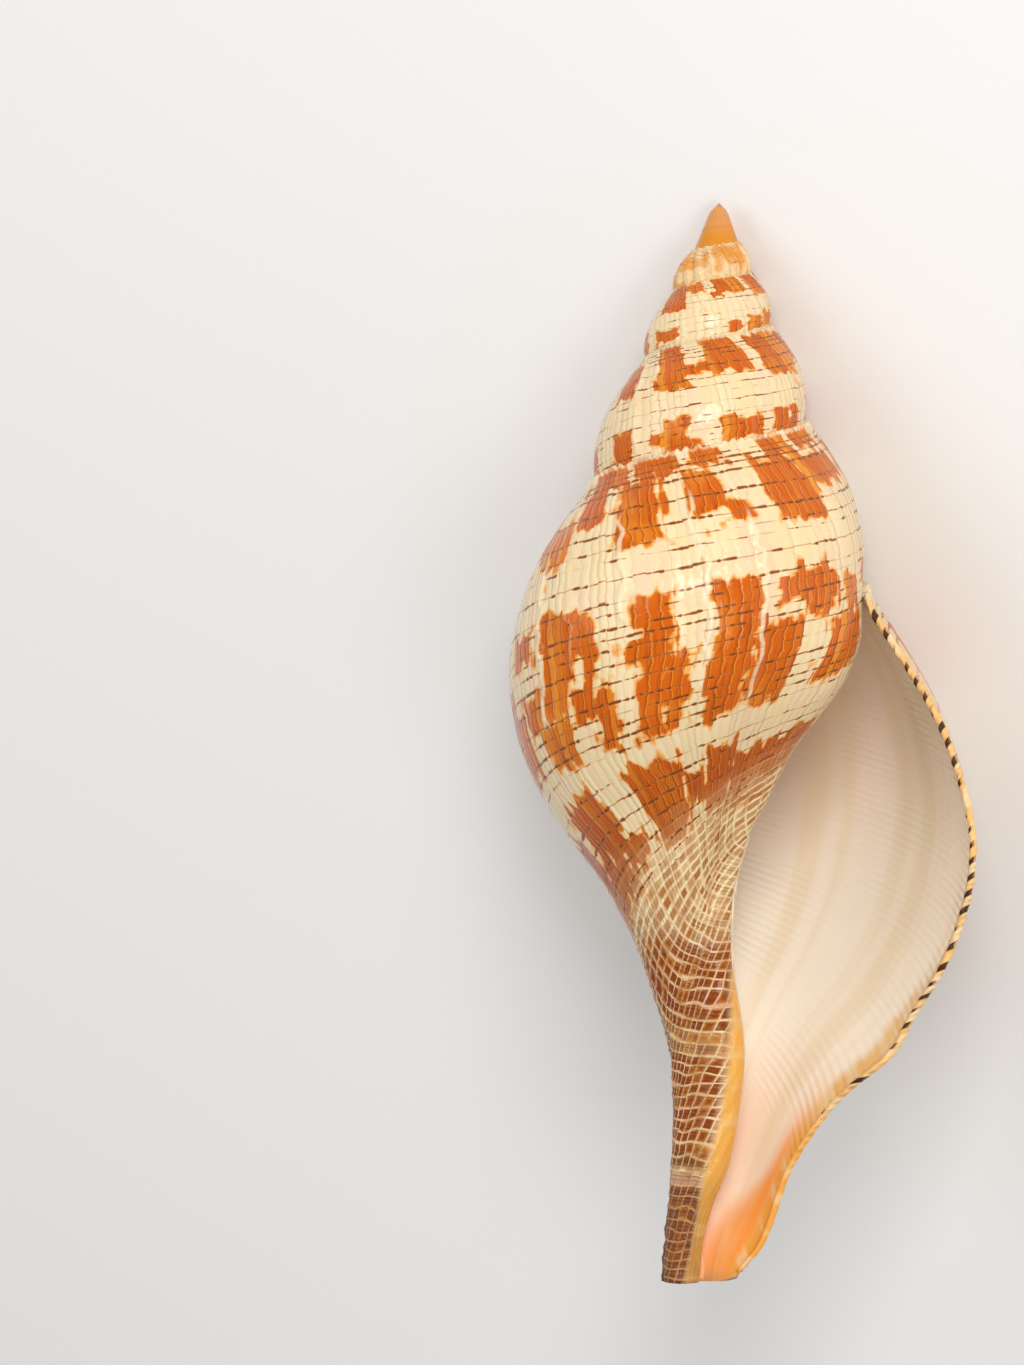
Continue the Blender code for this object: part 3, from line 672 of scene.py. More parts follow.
class ShellMesh:
    # Collects points and faces with what the material reads at each corner, and lays every
    # grid and joining strip out on its own rectangle of the texture map.

    def __init__(self):
        self.points, self.values, self.count = [], [], 0
        self.faces = {3: [], 4: []}
        self.strips = 0

    def addPoints(self, points, values):
        # Keeps the points and returns their numbers, in the same layout.
        numbers = np.arange(self.count, self.count + points[..., 0].size).reshape(points.shape[:-1])
        self.points.append(points.reshape(-1, 3))
        self.values.append(values.reshape(-1, len(channels)))
        self.count += numbers.size
        return numbers

    def addFaces(self, corners, values, places):
        # Numbers, values and map places of each face's corners, by the count of corners.
        self.faces[corners.shape[1]].append((corners, values, places))

    def addGrid(self, points, values, rectangle):
        # A face between each two neighbouring columns and rows, mapped evenly on the rectangle.
        numbers = self.addPoints(points, values)
        left, low, right, high = rectangle
        columns, rows = numbers.shape
        across = np.linspace(left, right, columns)[:, None]
        up = np.linspace(high, low, rows)
        places = np.stack(np.broadcast_arrays(across, up), axis=-1)

        def quads(grid):
            corners = (grid[:-1, :-1], grid[1:, :-1], grid[1:, 1:], grid[:-1, 1:])
            return np.stack(corners, axis=2).reshape((-1, 4) + grid.shape[2:])
        self.addFaces(quads(numbers), quads(values), quads(places))
        return numbers

    def allPoints(self):
        # Every point so far, in the order of their numbers.
        return np.concatenate(self.points)

    def stitch(self, first, second, firstPlaces=None, secondPlaces=None, likeFirst=False):
        # Joins two rows of points with triangles, stepping along both in the order of their
        # places, which run evenly from 0 to 1 unless they are given. With likeFirst the whole
        # strip reads the first row's values.
        first, second = np.asarray(first), np.asarray(second)
        firstPlaces = np.linspace(0.0, 1.0, len(first)) if firstPlaces is None else firstPlaces
        secondPlaces = np.linspace(0.0, 1.0, len(second)) if secondPlaces is None else secondPlaces
        steps = np.concatenate([0.5 * (firstPlaces[1:] + firstPlaces[:-1]),
                                0.5 * (secondPlaces[1:] + secondPlaces[:-1])])
        movesFirst = np.argsort(steps, kind="stable") < len(first) - 1
        atFirst = np.cumsum(movesFirst) - movesFirst
        atSecond = np.cumsum(~movesFirst) - ~movesFirst
        nextFirst = np.minimum(atFirst + 1, len(first) - 1)
        nextSecond = np.minimum(atSecond + 1, len(second) - 1)

        def triangles(firstRow, secondRow):
            moved = movesFirst.reshape((-1,) + (1,) * firstRow.ndim)
            return np.where(
                moved,
                np.stack([firstRow[atFirst], firstRow[nextFirst], secondRow[atSecond]], axis=1),
                np.stack([firstRow[atFirst], secondRow[nextSecond], secondRow[atSecond]], axis=1))
        corners = triangles(first, second)
        values = np.concatenate(self.values)
        firstValues, secondValues = values[first], values[second]
        if likeFirst:
            nearest = np.abs(secondPlaces[:, None] - firstPlaces[None, :]).argmin(axis=1)
            secondValues = firstValues[nearest]
        lowest, step, height = grids["stripPlace"]
        low = lowest + step * self.strips
        self.strips += 1
        left, width = grids["stripSides"]

        def mapRow(rowPlaces, up):
            return np.stack([left + width * rowPlaces, np.full(len(rowPlaces), up)], axis=-1)
        whole = ((corners[:, 0] != corners[:, 1]) & (corners[:, 1] != corners[:, 2])
                 & (corners[:, 0] != corners[:, 2]))
        self.addFaces(corners[whole], triangles(firstValues, secondValues)[whole],
                      triangles(mapRow(firstPlaces, low), mapRow(secondPlaces, low + height))[whole])

    def makeObject(self, name):
        # Faces into a mesh, turned outwards, with the map and one attribute for each value.
        points = shellLength * (self.allPoints() @ restMatrix.T) + shellPlace
        parts = [part for size in (3, 4) for part in self.faces[size]]
        faces = [face for corners, _, _ in parts for face in corners.tolist()]
        values = np.concatenate([values.reshape(-1, len(channels)) for _, values, _ in parts])
        places = np.concatenate([places.reshape(-1, 2) for _, _, places in parts])
        mesh = bpy.data.meshes.new(name)
        mesh.from_pydata(points.tolist(), [], faces)
        for index, channel in enumerate(channels[:-3]):
            attribute = mesh.attributes.new(channel, "FLOAT", "CORNER")
            attribute.data.foreach_set("value", values[:, index].astype(np.float32))
        ground = mesh.attributes.new("ground", "FLOAT_COLOR", "CORNER")
        colour = np.concatenate([values[:, -3:], np.ones((len(values), 1))], axis=1)
        ground.data.foreach_set("color", colour.astype(np.float32).ravel())
        layer = mesh.uv_layers.new(name="OFBake")
        layer.data.foreach_set("uv", places.astype(np.float32).ravel())
        turned = bmesh.new()
        turned.from_mesh(mesh)
        bmesh.ops.recalc_face_normals(turned, faces=turned.faces)
        turned.to_mesh(mesh)
        turned.free()
        mesh.shade_smooth()
        piece = bpy.data.objects.new(name, mesh)
        bpy.context.collection.objects.link(piece)
        return piece


def lipShift(turn, ownDepth):
    # The lip's edge runs out at each spiral line and in between them, unevenly.
    number, _, strength = lineValues(ownDepth)
    wave = np.cos(2.0 * math.pi * number) * strength + 0.5 * valueNoise(ownDepth * 50.0, 0.0, 8)
    return relief["scallopTurns"] * wave * np.exp(-turn / relief["scallopFade"])


def addBody(mesh):
    # Outside of the last whorl, down to the end of the canal; returns its grid of points and
    # the row at which the lip is attached to it.
    counts, (beadsEnd, bodyEnd) = grids["bodyRows"], grids["bodyShares"]
    attachment = (coil["sutureDepth"] - sutureDepth(1.0)) / (1.0 - sutureDepth(1.0))
    shares = (0.0, beadsEnd, attachment, bodyEnd, 1.0)
    rows = np.concatenate([
        *(np.linspace(start, end, count, endpoint=False)
          for start, end, count in zip(shares, shares[1:], counts)), [1.0]])
    attachedRow = counts[0] + counts[1]
    turn = np.linspace(0.0, 1.0, grids["bodyColumns"] + 1)[:, None]
    start = sutureDepth(turn)
    depth = start + (1.0 - start) * rows
    turn = np.broadcast_to(turn, depth.shape)
    radius = faceRadius(turn, depth)
    intoMouth = smoothStep(turn, 0.975, 1.0) * smoothStep(depth, 0.37, 0.40)
    values = outsideValues(turn, depth, intoMouth)
    fade = 1.0 - smoothStep(turn, 0.93, 1.0) * smoothStep(depth, coil["sutureDepth"], 0.39)
    fade = fade * (1.0 - 0.8 * smoothStep(-turn, -0.004, 0.0))  # flatter at the lip's edge
    lifted = depth - beadRise(turn, values)
    points = coilPoints(turn - lipShift(turn, channelOf(values, "spiral")), radius, lifted)
    points = raiseGrid(points, outsideHeight(turn, values, fade))
    return mesh.addGrid(points, values, grids["bodyPlace"]), attachedRow


def addSpire(mesh, belowEdge, lastColumn):
    # Whorl after whorl up to the apex; each joins the whorl below it with a small ledge.
    for whorl, (columns, rows) in enumerate(grids["spire"], start=1):
        turn = whorl + np.linspace(0.0, 1.0, columns + 1)[1:, None]
        start = sutureDepth(turn)
        depth = start + (sutureDepth(turn - 1.0) - start) * np.linspace(0.0, 1.0, rows + 1)
        turn = np.broadcast_to(turn, depth.shape)
        values = outsideValues(turn, depth, np.zeros(turn.shape))
        points = coilPoints(turn, outerRadius(turn, depth), depth - beadRise(turn, values))
        fade = 1.0 - smoothStep(depth / sutureDepth(turn - 1.0), 0.97, 1.0)
        points = raiseGrid(points, outsideHeight(turn, values, fade))
        numbers = mesh.addGrid(points, values, grids["spirePlaces"][whorl - 1])
        mesh.stitch(lastColumn, numbers[0])
        mesh.stitch(belowEdge, np.concatenate([lastColumn[-1:], numbers[:, -1]]), likeFirst=True)
        belowEdge = np.concatenate([lastColumn[:1], numbers[:, 0]])
        lastColumn = numbers[-1]
    tipDepth = 1e-4
    values = outsideValues(np.full(1, whorl + 1.0), np.full(1, tipDepth), np.zeros(1))
    apex = mesh.addPoints(coilPoints(np.zeros(1), np.zeros(1), np.zeros(1)), values)
    mesh.stitch(belowEdge, apex)
    mesh.stitch(np.concatenate([apex, lastColumn]), belowEdge[:1])


def floorDepth(inside):
    # Depth at which the outer wall and the pillar meet, where the hollow ends.
    return np.minimum(1.0, coil["canalEnd"] * coil["depthRatio"] ** -inside)


def hollowTop(inside):
    # Depth of the hollow's top corner, a little below the seam.
    return sutureDepth(inside) * (1.0 + relief["cornerDepth"])


def wallGrid(inside, rows):
    # Inner face of the outer wall: the outer face moved in along its slope by the thickness.
    start = hollowTop(inside)
    depth = start + (floorDepth(inside) - start) * rows ** relief["rowCrowding"]
    step = relief["slopeStep"] * coil["radiusRatio"] ** -inside
    radius, above, below = (outerRadius(inside, place) + swelling(inside, place)
                            for place in (depth, depth - step, depth + step))
    slope = (below - above) / (2.0 * step)
    length = np.sqrt(1.0 + slope * slope)
    built = 1.0 - np.exp(-inside / relief["wallBuildup"])
    thickness = relief["lipThickness"] + (relief["wallThickness"] - relief["lipThickness"]) * built
    thickness = thickness * millimetre * coil["radiusRatio"] ** (-relief["wallTaper"] * inside)
    radius = radius - thickness / length
    depth = depth + thickness * slope / length * (1.0 - rows ** relief["floorEase"])
    gap = relief["cornerGap"] * millimetre * coil["radiusRatio"] ** -inside
    radius = np.maximum(radius, faceRadius(1.0 + inside, depth) + gap)
    inside = np.broadcast_to(inside, depth.shape)
    shift = lipShift(inside, depth * coil["depthRatio"] ** inside)
    return coilPoints(inside - shift, radius, depth), insideValues(inside, depth, False)


def lipRows():
    # Rows that meet every spiral line and every middle between two, and go on evenly to the tip.
    lines, top = spiralLines[:, 0], hollowTop(0.0)
    middles = 0.5 * (lines[1:] + lines[:-1])
    below, belowCount = 0.94, 5
    places = np.concatenate([
        [top], np.sort(np.append(lines, middles)), np.linspace(below, 1.0, belowCount)])
    return ((places - top) / (1.0 - top)) ** (1.0 / relief["rowCrowding"])


def addHollowWhorl(mesh, whorl, columns, wallRows, pillarRows):
    # One whorl of the hollow: the outer wall's inner face, and the pillar with the older whorl.
    inside = whorl + np.linspace(0.0, 1.0, columns + 1)[:, None]
    rows = np.linspace(0.0, 1.0, wallRows + 1) if wallRows else lipRows()
    wall, wallValues = wallGrid(inside, rows)
    start = hollowTop(inside)
    rows = np.linspace(0.0, 1.0, pillarRows + 1) ** relief["rowCrowding"]
    depth = start + (floorDepth(inside) - start) * rows
    pillar = coilPoints(1.0 + inside, faceRadius(1.0 + inside, depth), depth)
    pillarValues = insideValues(inside, depth, True)
    if whorl > 0:
        wall, wallValues = wall[1:], wallValues[1:]
    wallNumbers = mesh.addGrid(wall, wallValues, grids["wallPlaces"][whorl])
    return wallNumbers, mesh.addGrid(pillar[1:], pillarValues[1:], grids["pillarPlaces"][whorl])


def addHollow(mesh, body, attachedRow):
    # The hollow winds up inside the whorls. Its two faces join at the top corner, along the
    # floor of the canal, at the blind inner end and around the canal's open tip.
    pillarEnd = body[-1, attachedRow:]
    openWall, wallEnd = None, None
    for whorl, (columns, wallRows, pillarRows) in enumerate(grids["hollow"]):
        wall, pillar = addHollowWhorl(mesh, whorl, columns, wallRows, pillarRows)
        mesh.stitch(pillarEnd, pillar[0])
        corner, floor = np.append(pillarEnd[:1], pillar[:, 0]), pillar[:, -1]
        if openWall is None:
            openWall = wall
            openColumns = int(np.sum(floorDepth(np.linspace(0.0, 1.0, columns + 1)) >= 1.0)) - 1
            openFloor = floor[:openColumns]
            mesh.stitch(corner, wall[:, 0])
            mesh.stitch(floor[openColumns - 1:], wall[openColumns:, -1])
        else:
            mesh.stitch(wallEnd, wall[0])
            mesh.stitch(corner, np.append(wallEnd[:1], wall[:, 0]))
            mesh.stitch(np.append(pillarEnd[-1:], floor), np.append(wallEnd[-1:], wall[:, -1]))
        pillarEnd, wallEnd = pillar[-1], wall[-1]
    mesh.stitch(wallEnd, pillarEnd)
    tip = np.concatenate([openWall[:openColumns + 1, -1], openFloor[::-1], body[-1:, -1]])
    tipPlaces = np.concatenate([
        np.linspace(0.0, openColumns / grids["hollow"][0][0], openColumns + 1),
        np.linspace(relief["tipTurn"], 1.0, openColumns + 1)])
    mesh.stitch(body[:, -1], tip, None, tipPlaces)
    return openWall[0]


def addLip(mesh, outerNumbers, innerNumbers, attachment):
    # The lip's edge: a half circle from the outer face over to the inner face, c cos a + b sin a
    # about the middle of the two, swollen into a rim and raised into knobs. It reads the inner
    # face's values, with a distance to the lip that runs from -1 outside to 0 inside.
    everyPoint, everyValue = mesh.allPoints(), np.concatenate(mesh.values)
    edge, outer = everyPoint[innerNumbers], everyPoint[outerNumbers]

    def sharesOf(numbers):
        depth = channelOf(everyValue[numbers], "spiral")
        return (depth - depth[0]) / (depth[-1] - depth[0])
    share, innerShare = sharesOf(outerNumbers), sharesOf(innerNumbers)

    def alongEdge(columns):
        return np.stack([np.interp(share, innerShare, column) for column in columns.T], axis=-1)
    inner, values = alongEdge(edge), alongEdge(everyValue[innerNumbers])
    middle, across = 0.5 * (outer + inner), 0.5 * (outer - inner)
    bulge = np.linalg.norm(across, axis=1)[:, None] * np.array([0.0, 0.0, 1.0])
    ownDepth = channelOf(values, "spiral")
    knobStart, (endStart, end) = relief["knobDepths"]
    knob = 0.5 + 0.5 * np.cos(2.0 * math.pi * channelOf(values, "cord"))
    knob = knob ** 2 * smoothStep(ownDepth, *knobStart) * smoothStep(-ownDepth, -end, -endStart)
    knob = relief["knobHeight"] * millimetre * knob[:, None] * np.array(relief["knobDirection"])
    columns = [outerNumbers]
    for column in range(1, grids["lipColumns"]):
        angle = math.pi * column / grids["lipColumns"]
        turned = across * math.cos(angle) + bulge * math.sin(angle)
        points = middle + turned * relief["rimSwell"] + knob * math.sin(angle)
        values[:, channels.index("lipDistance")] = column / grids["lipColumns"] - 1.0
        columns.append(mesh.addPoints(points, values.copy()))
        mesh.stitch(columns[-1], columns[-2], likeFirst=True)
    mesh.stitch(innerNumbers, columns[-1], innerShare, share)
    columns.append(innerNumbers)
    mesh.stitch(np.array([column[0] for column in columns]), attachment)
    mesh.stitch(np.array([column[-1] for column in columns[1:]]), outerNumbers[-1:])


def makeShell():
    # The whole shell as one closed mesh.
    mesh = ShellMesh()
    body, attachedRow = addBody(mesh)
    print("last whorl shaped")
    addSpire(mesh, body[:, 0], body[-1, :attachedRow + 1])
    print("spire shaped")
    lipInside = addHollow(mesh, body, attachedRow)
    addLip(mesh, body[0], lipInside, body[-1:, attachedRow])
    print("mouth and canal shaped")
    return mesh.makeObject("tulipShell")


class Wire:
    # A socket of a shader tree; sums, products and powers of wires and numbers add Math nodes.

    def __init__(self, tree, socket):
        self.tree, self.socket = tree, socket

    def maths(self, operation, *values):
        # A Math node on wires or plain numbers.
        return self.tree.add("ShaderNodeMath", {"operation": operation}, dict(enumerate(values)))

    def __add__(self, other):
        return self.maths("ADD", self, other)

    def __sub__(self, other):
        return self.maths("SUBTRACT", self, other)

    def __rsub__(self, other):
        return self.maths("SUBTRACT", other, self)

    def __mul__(self, other):
        return self.maths("MULTIPLY", self, other)

    def __pow__(self, other):
        return self.maths("POWER", self, other)

    def __rpow__(self, other):
        return self.maths("POWER", other, self)

    def floor(self):
        return self.maths("FLOOR", self)

    def toNearest(self):
        # Distance to the nearest whole number: |fraction(x + 0.5) - 0.5|.
        part = self.maths("FRACT", self + 0.5)
        return self.maths("ABSOLUTE", part - 0.5)

    def absolute(self):
        return self.maths("ABSOLUTE", self)

    def above(self, start, end):
        # Smooth step from 0 at start to 1 at end; start may be the larger.
        low, high = min(start, end), max(start, end)
        step = self.tree.add("ShaderNodeMapRange", {"interpolation_type": "SMOOTHSTEP"},
                             {"Value": self, "From Min": low, "From Max": high})
        return step if start < end else 1.0 - step

    def larger(self, other):
        return self.maths("MAXIMUM", self, other)

    def smaller(self, other):
        return self.maths("MINIMUM", self, other)

    def sine(self):
        return self.maths("SINE", self)

    __radd__, __rmul__ = __add__, __mul__


class ShaderTree:
    # Adds nodes to a material: settings first, then the values or links of the sockets.

    def __init__(self, name):
        self.material = bpy.data.materials.new(name)
        self.material.use_nodes = True
        self.nodes = self.material.node_tree.nodes
        self.nodes.clear()

    def add(self, kind, settings=None, sockets=None, output=0):
        # A node of a kind; returns the wire of one of its outputs.
        node = self.nodes.new(kind)
        for name, value in (settings or {}).items():
            setattr(node, name, value)
        for name, value in (sockets or {}).items():
            if isinstance(value, Wire):
                self.material.node_tree.links.new(value.socket, node.inputs[name])
            else:
                node.inputs[name].default_value = value
        return Wire(self, node.outputs[output]) if node.outputs else node

    def value(self, name):
        # One of the mesh's channels.
        return self.add("ShaderNodeAttribute", {"attribute_name": name}, output="Fac")

    def vector(self, x, y, z):
        # Three wires or numbers as one place in the noise.
        return self.add("ShaderNodeCombineXYZ", None, {"X": x, "Y": y, "Z": z})

    def noise(self, vector, scale, detail, roughness=0.5):
        # Smooth random values around 0.5.
        return self.add("ShaderNodeTexNoise", None, {
            "Vector": vector, "Scale": scale, "Detail": detail, "Roughness": roughness})

    def pattern(self, name, along, down):
        # One of the patterns, by millimetres along the growth and down the shell.
        stretchAlong, stretchDown, which, *kind = patterns[name]
        return self.noise(self.vector(along * stretchAlong, down * stretchDown, which), *kind)

    def random(self, number):
        # An even spread of values from 0 to 1, one for each number.
        return self.add("ShaderNodeTexWhiteNoise", {"noise_dimensions": "1D"}, {"W": number})

    def mix(self, share, under, over):
        # The second colour laid over the first; the Mix node's colour sockets go by number.
        return self.add("ShaderNodeMix", {"data_type": "RGBA"},
                        {0: share, 6: under, 7: over}, output=2)


# Noise over the surface: stretch along the growth and down the shell, which noise, scale,
# detail, roughness.
patterns = {
    "stageWaves": (0.10, 0.30, 4.0, 1.0, 3.0, 0.5),
    "stageDrift": (0.11, 0.0, 6.0, 1.0, 1.0, 0.5),
    "lobes": (1.0, 0.5, 3.0, 0.45, 1.0, 0.4),
    "patches": (1.0, 1.0, 13.0, 0.09, 2.0, 0.5),
    "streaks": (1.0, 0.06, 0.0, 1.3, 3.0, 0.6),
    "insideBands": (1.0, 0.04, 21.0, 0.16, 2.0, 0.5),
    "marginWave": (0.0, 1.0, 22.0, 0.8, 2.0, 0.5),
    "marginPale": (0.0, 1.0, 24.0, 0.30, 1.0, 0.5),
    "liraPatches": (0.05, 0.1, 23.0, 1.0, 1.0, 0.5),
    "fineRidges": (1.0, 0.12, 7.0, 2.4, 2.0, 0.5),
}
paint = {
    "stageWidth": 1.9,  # millimetres between growth stages on the last whorl
    "warmWhite": (0.89, 0.76, 0.49, 1.0),
    "blush": (0.80, 0.56, 0.38, 1.0),
    # painted shadow on one side of the growth ridges
    "shade": (0.56, 0.33, 0.15, 1.0),
    "orange": (0.62, 0.112, 0.0, 1.0),
    "amber": (0.86, 0.33, 0.025, 1.0),
    "rust": (0.30, 0.038, 0.001, 1.0),
    "thinLine": (0.45, 0.13, 0.015, 1.0),
    "line": (0.17, 0.035, 0.003, 1.0),
    "cell": (0.25, 0.046, 0.001, 1.0),
    "cellPale": (0.52, 0.18, 0.02, 1.0),
    "cord": (0.86, 0.54, 0.32, 1.0),
    "straw": (0.83, 0.61, 0.31, 1.0),
    "groove": (0.42, 0.15, 0.03, 1.0),
    "tip": (0.20, 0.060, 0.018, 1.0),
    "scar": (0.12, 0.06, 0.03, 1.0),
    "margin": (0.86, 0.45, 0.09, 1.0),
    "lowMargin": (0.84, 0.36, 0.05, 1.0),
    "mark": (0.060, 0.014, 0.004, 1.0),
    "coat": 0.26,
    "coatRoughness": 0.04,
    "roughness": (0.12, 0.10),  # least, and how much fine noise adds
    "specular": 0.16,
    "bumpStrength": 0.8,
    "bumpDistance": 0.00025,  # metres
    "shellLength": 150.0,  # millimetres
    "turnLength": 710.0,  # millimetres of growth in all the turns, were there no end of them
    "turnShrink": 0.7,  # what is left of it after each turn
    "dashesPerMillimetre": 0.36,
    "dashHalfWidth": 0.40,  # millimetres
    "liraSpacing": 0.0075,  # own depth between the fine ridges inside the lip
    "liraHeight": 0.22,  # beside the outside's ridges
}


def growthStages(tree, along, down):
    # Wavy bands between pauses in growth: their number and the place within one, 0 to 1.
    waves = tree.pattern("stageWaves", along, down)
    drift = tree.pattern("stageDrift", along, down)
    place = along * (1.0 / paint["stageWidth"]) + waves * 1.1 + drift * 3.0
    return place.floor(), place - place.floor()


def blotchColours(tree, along, down, spiral, stage, part, lineNumber, ground):
    # Cream and orange by the blotch field, made ragged by rounded lobes and by whole stages;
    # returns the colour and the share of orange.
    stageTone, lineTone = tree.random(stage), tree.random(stage * 13.0 + lineNumber)
    large = tree.value("growth").above(3.3, 3.0)
    lobes = tree.pattern("lobes", along, down)
    patches = tree.pattern("patches", along, down)
    streaks = tree.pattern("streaks", along, down)
    cream = tree.mix(stageTone * 0.45 * large, ground, paint["warmWhite"])
    cream = tree.mix(tree.random(stage + 0.37).above(0.5, 1.0) * 0.45 * large, cream, paint["blush"])
    blush = streaks.above(0.48, 0.72) * 0.35 + patches.above(0.50, 0.62) * 0.25
    cream = tree.mix(blush, cream, paint["blush"])
    # painted shadow: a darker line at the start of each strong growth stage, beside its ridge
    cream = tree.mix(part.above(0.20, 0.0) * stageTone.above(0.45, 1.0) * 0.6, cream, paint["shade"])
    ragged = (tree.value("blotch") + (stageTone - 0.5) * 0.34 + (lineTone - 0.5) * 0.20
              + (lobes - 0.5) * 1.1)
    blotch = ragged.above(0.42, 0.54)
    orange = tree.mix(stageTone.above(0.72, 0.95) * 0.6, paint["orange"], paint["amber"])
    orange = tree.mix(patches.above(0.50, 0.68) * 0.35, orange, paint["amber"])
    # painted shade: darker at the end of each growth stage, beside the next one's edge; also darker in
    # the streaks and towards the base
    darker = part.above(0.65, 1.0) * 0.60 + streaks.above(0.50, 0.66) * 0.40
    orange = tree.mix((darker + spiral.above(0.76, 0.86) * 0.50).smaller(0.9), orange, paint["rust"])
    # painted highlight: a paler amber line at the start of each growth stage
    orange = tree.mix(part.above(0.16, 0.0) * 0.75, orange, paint["amber"])
    colour = tree.mix(ragged.above(0.30, 0.47) * 0.85, cream, paint["amber"])
    return tree.mix(blotch, colour, orange), blotch


def addSpiralLines(tree, along, colour, blotch, lineNumber, lineDistance):
    # Each line is a faint thread with tapering dashes of uneven length and width. They crowd
    # below the suture and stop above the canal. Returns the colour and the dashes.
    strength, spiral, gap = tree.value("lineStrength"), tree.value("spiral"), tree.value("lineGap")
    shown = spiral.above(0.94, 0.90)
    wobble = tree.noise(tree.vector(along * 0.22, lineNumber * 5.3, 2.0), 1.0, 2.0)
    place = along * paint["dashesPerMillimetre"] + wobble * 4.5 + tree.random(lineNumber + 0.71) * 7.0
    dash = place.floor()
    part, tone = place - dash, tree.random(dash * 7.0 + lineNumber * 3.1)
    taper = part ** 1.2 * (1.0 - part) ** 0.4 * 2.20
    crowded = spiral.above(0.412, 0.400) * 0.25
    width = tone * 0.95 + strength * 0.50 + blotch * 0.18 + wobble * 0.9 + crowded - 1.05
    width = width.smaller(paint["dashHalfWidth"]).smaller(gap * 0.24) * taper
    line = (width - lineDistance).above(-0.10, 0.08) * width.above(0.0, 0.07) * shown
    line = line * strength.above(0.0, 0.1)
    core = (width - lineDistance).above(0.04, 0.24)
    faint = (strength + wobble * 2.0 - 0.85).above(0.2, 0.8) * shown
    thread = lineDistance.above(0.22, 0.06) * faint
    colour = tree.mix(thread * 0.60, colour, paint["thinLine"])
    lineColour = tree.mix(core, paint["thinLine"], paint["line"])
    return tree.mix(line * 0.95, colour, lineColour), line


def addCanalPattern(tree, colour, growth, spiral):
    # Pale cords over brown grooves on the base; on the canal pale rows cross the cords and leave
    # dark cells between them, then comes a tan band and a purple-brown tip. Returns the colour
    # and the cells.
    cord, row, cells = tree.value("cord"), tree.value("row"), tree.value("cells")
    toCord, toRow = cord.toNearest(), row.toNearest()
    pit = toCord.above(0.03, 0.15) * toRow.above(0.05, 0.17)
    cellTone = tree.random(cord.floor() * 17.0 + row.floor())
    rowTone = tree.noise(tree.vector(row.floor() * 0.31, 0.0, 5.0), 1.0, 1.0)
    patches = tree.noise(tree.vector(growth * 26.0, spiral * 22.0, 31.0), 1.0, 2.0)
    patches = patches.above(0.50, 0.60)
    base = spiral.above(0.84, 0.95)
    groove = toCord.above(0.10, 0.26) * toRow.above(0.02, 0.16) * (cellTone * 0.7 + 0.35)
    crest = toCord.above(0.18, 0.06) * (0.6 - patches * 0.3)
    colour = tree.mix(base * (0.70 - patches * 0.35), colour, paint["straw"])
    colour = tree.mix(base * patches * 0.50, colour, paint["cellPale"])
    colour = tree.mix(base * groove, colour, paint["groove"])
    colour = tree.mix(base * crest, colour, paint["warmWhite"])
    edge = toCord.smaller(toRow).above(0.34, 0.12)
    paler = (cellTone * 0.6 + rowTone + edge * 0.35).above(0.85, 1.45)
    dark = tree.mix(paler, paint["cell"], paint["cellPale"])
    dark = tree.mix(growth.above(0.24, 0.20) * (1.0 - cellTone * 0.4), dark, paint["tip"])
    pale = tree.mix(rowTone.above(0.40, 0.60), paint["cord"], paint["straw"])
    pale = tree.mix(cellTone * 0.5 + patches * 0.3, pale, paint["groove"])
    pale = tree.mix(growth.above(0.20, 0.12) * 0.75, pale, paint["groove"])
    tan = growth.above(0.155, 0.17) * growth.above(0.205, 0.19)
    shownPit = pit * (1.0 - rowTone.above(0.58, 0.66) * 0.2) * (1.0 - tan * 0.7)
    return tree.mix(cells, colour, tree.mix(shownPit, pale, dark)), pit * cells


def interiorColour(tree, along, down, ground):
    # Glossy cream with faint yellowish bands, an orange margin inside the lip with paler parts,
    # and dark knobs on the lip's edge, each of its own width and length.
    spiral, lipDistance, knob = tree.value("spiral"), tree.value("lipDistance"), tree.value("cord")
    bands = tree.pattern("insideBands", along, down)
    hollow = tree.value("growth").above(3.6, 3.3)
    colour = tree.mix(bands.above(0.45, 0.70) * 0.35 * hollow, ground, paint["straw"])
    wave = tree.pattern("marginWave", along, down)
    margin = (tree.value("margin") + (wave - 0.5) * 0.9).above(1.6, 0.6)
    edgeColour = tree.mix(spiral.above(0.80, 0.92), paint["margin"], paint["lowMargin"])
    pale = tree.pattern("marginPale", along, down)
    edgeColour = tree.mix(pale.above(0.48, 0.60) * 0.45, edgeColour, paint["warmWhite"])
    colour = tree.mix(margin * 0.85, colour, edgeColour)
    tone = tree.random((knob + 0.5).floor() + 0.29)
    width = (tone * 0.34 + 0.26 - knob.toNearest() * 2.3).above(0.0, 0.16)
    outwards = (lipDistance + tone).above(-0.10, 0.15)
    inwards = wave * 0.7 - 0.05 + spiral.above(0.56, 0.48) * 0.8
    mark = width * tone.above(0.08, 0.12) * spiral.above(0.87, 0.85) * outwards
    return tree.mix(mark * (inwards - lipDistance).above(0.0, 0.5), colour, paint["mark"])


def surfaceHeight(tree, along, down, stage, part, line, pits, fine):
    # Outside, the overlapping ridges of the growth stages, sunk at the lines and cells; inside,
    # fine ridges that fade in and out and are stronger near the lip.
    spiral, growth, outside = tree.value("spiral"), tree.value("growth"), tree.value("outside")
    ridge = part * (1.0 - part) * (tree.random(stage + 0.13) * 2.4 + 0.8)
    shingle = ridge + fine * 0.20 - line * 0.3 - pits * 0.8
    patches = tree.pattern("liraPatches", along, down).above(0.3, 0.6)
    lirae = (spiral * (2.0 * math.pi / paint["liraSpacing"])).sine() * patches * spiral.above(0.93, 0.85)
    lirae = lirae * (tree.value("lipDistance").above(8.0, 2.0) * 1.5 + 1.0) * growth.above(3.6, 3.3)
    return shingle * outside + lirae * paint["liraHeight"] * (1.0 - outside)


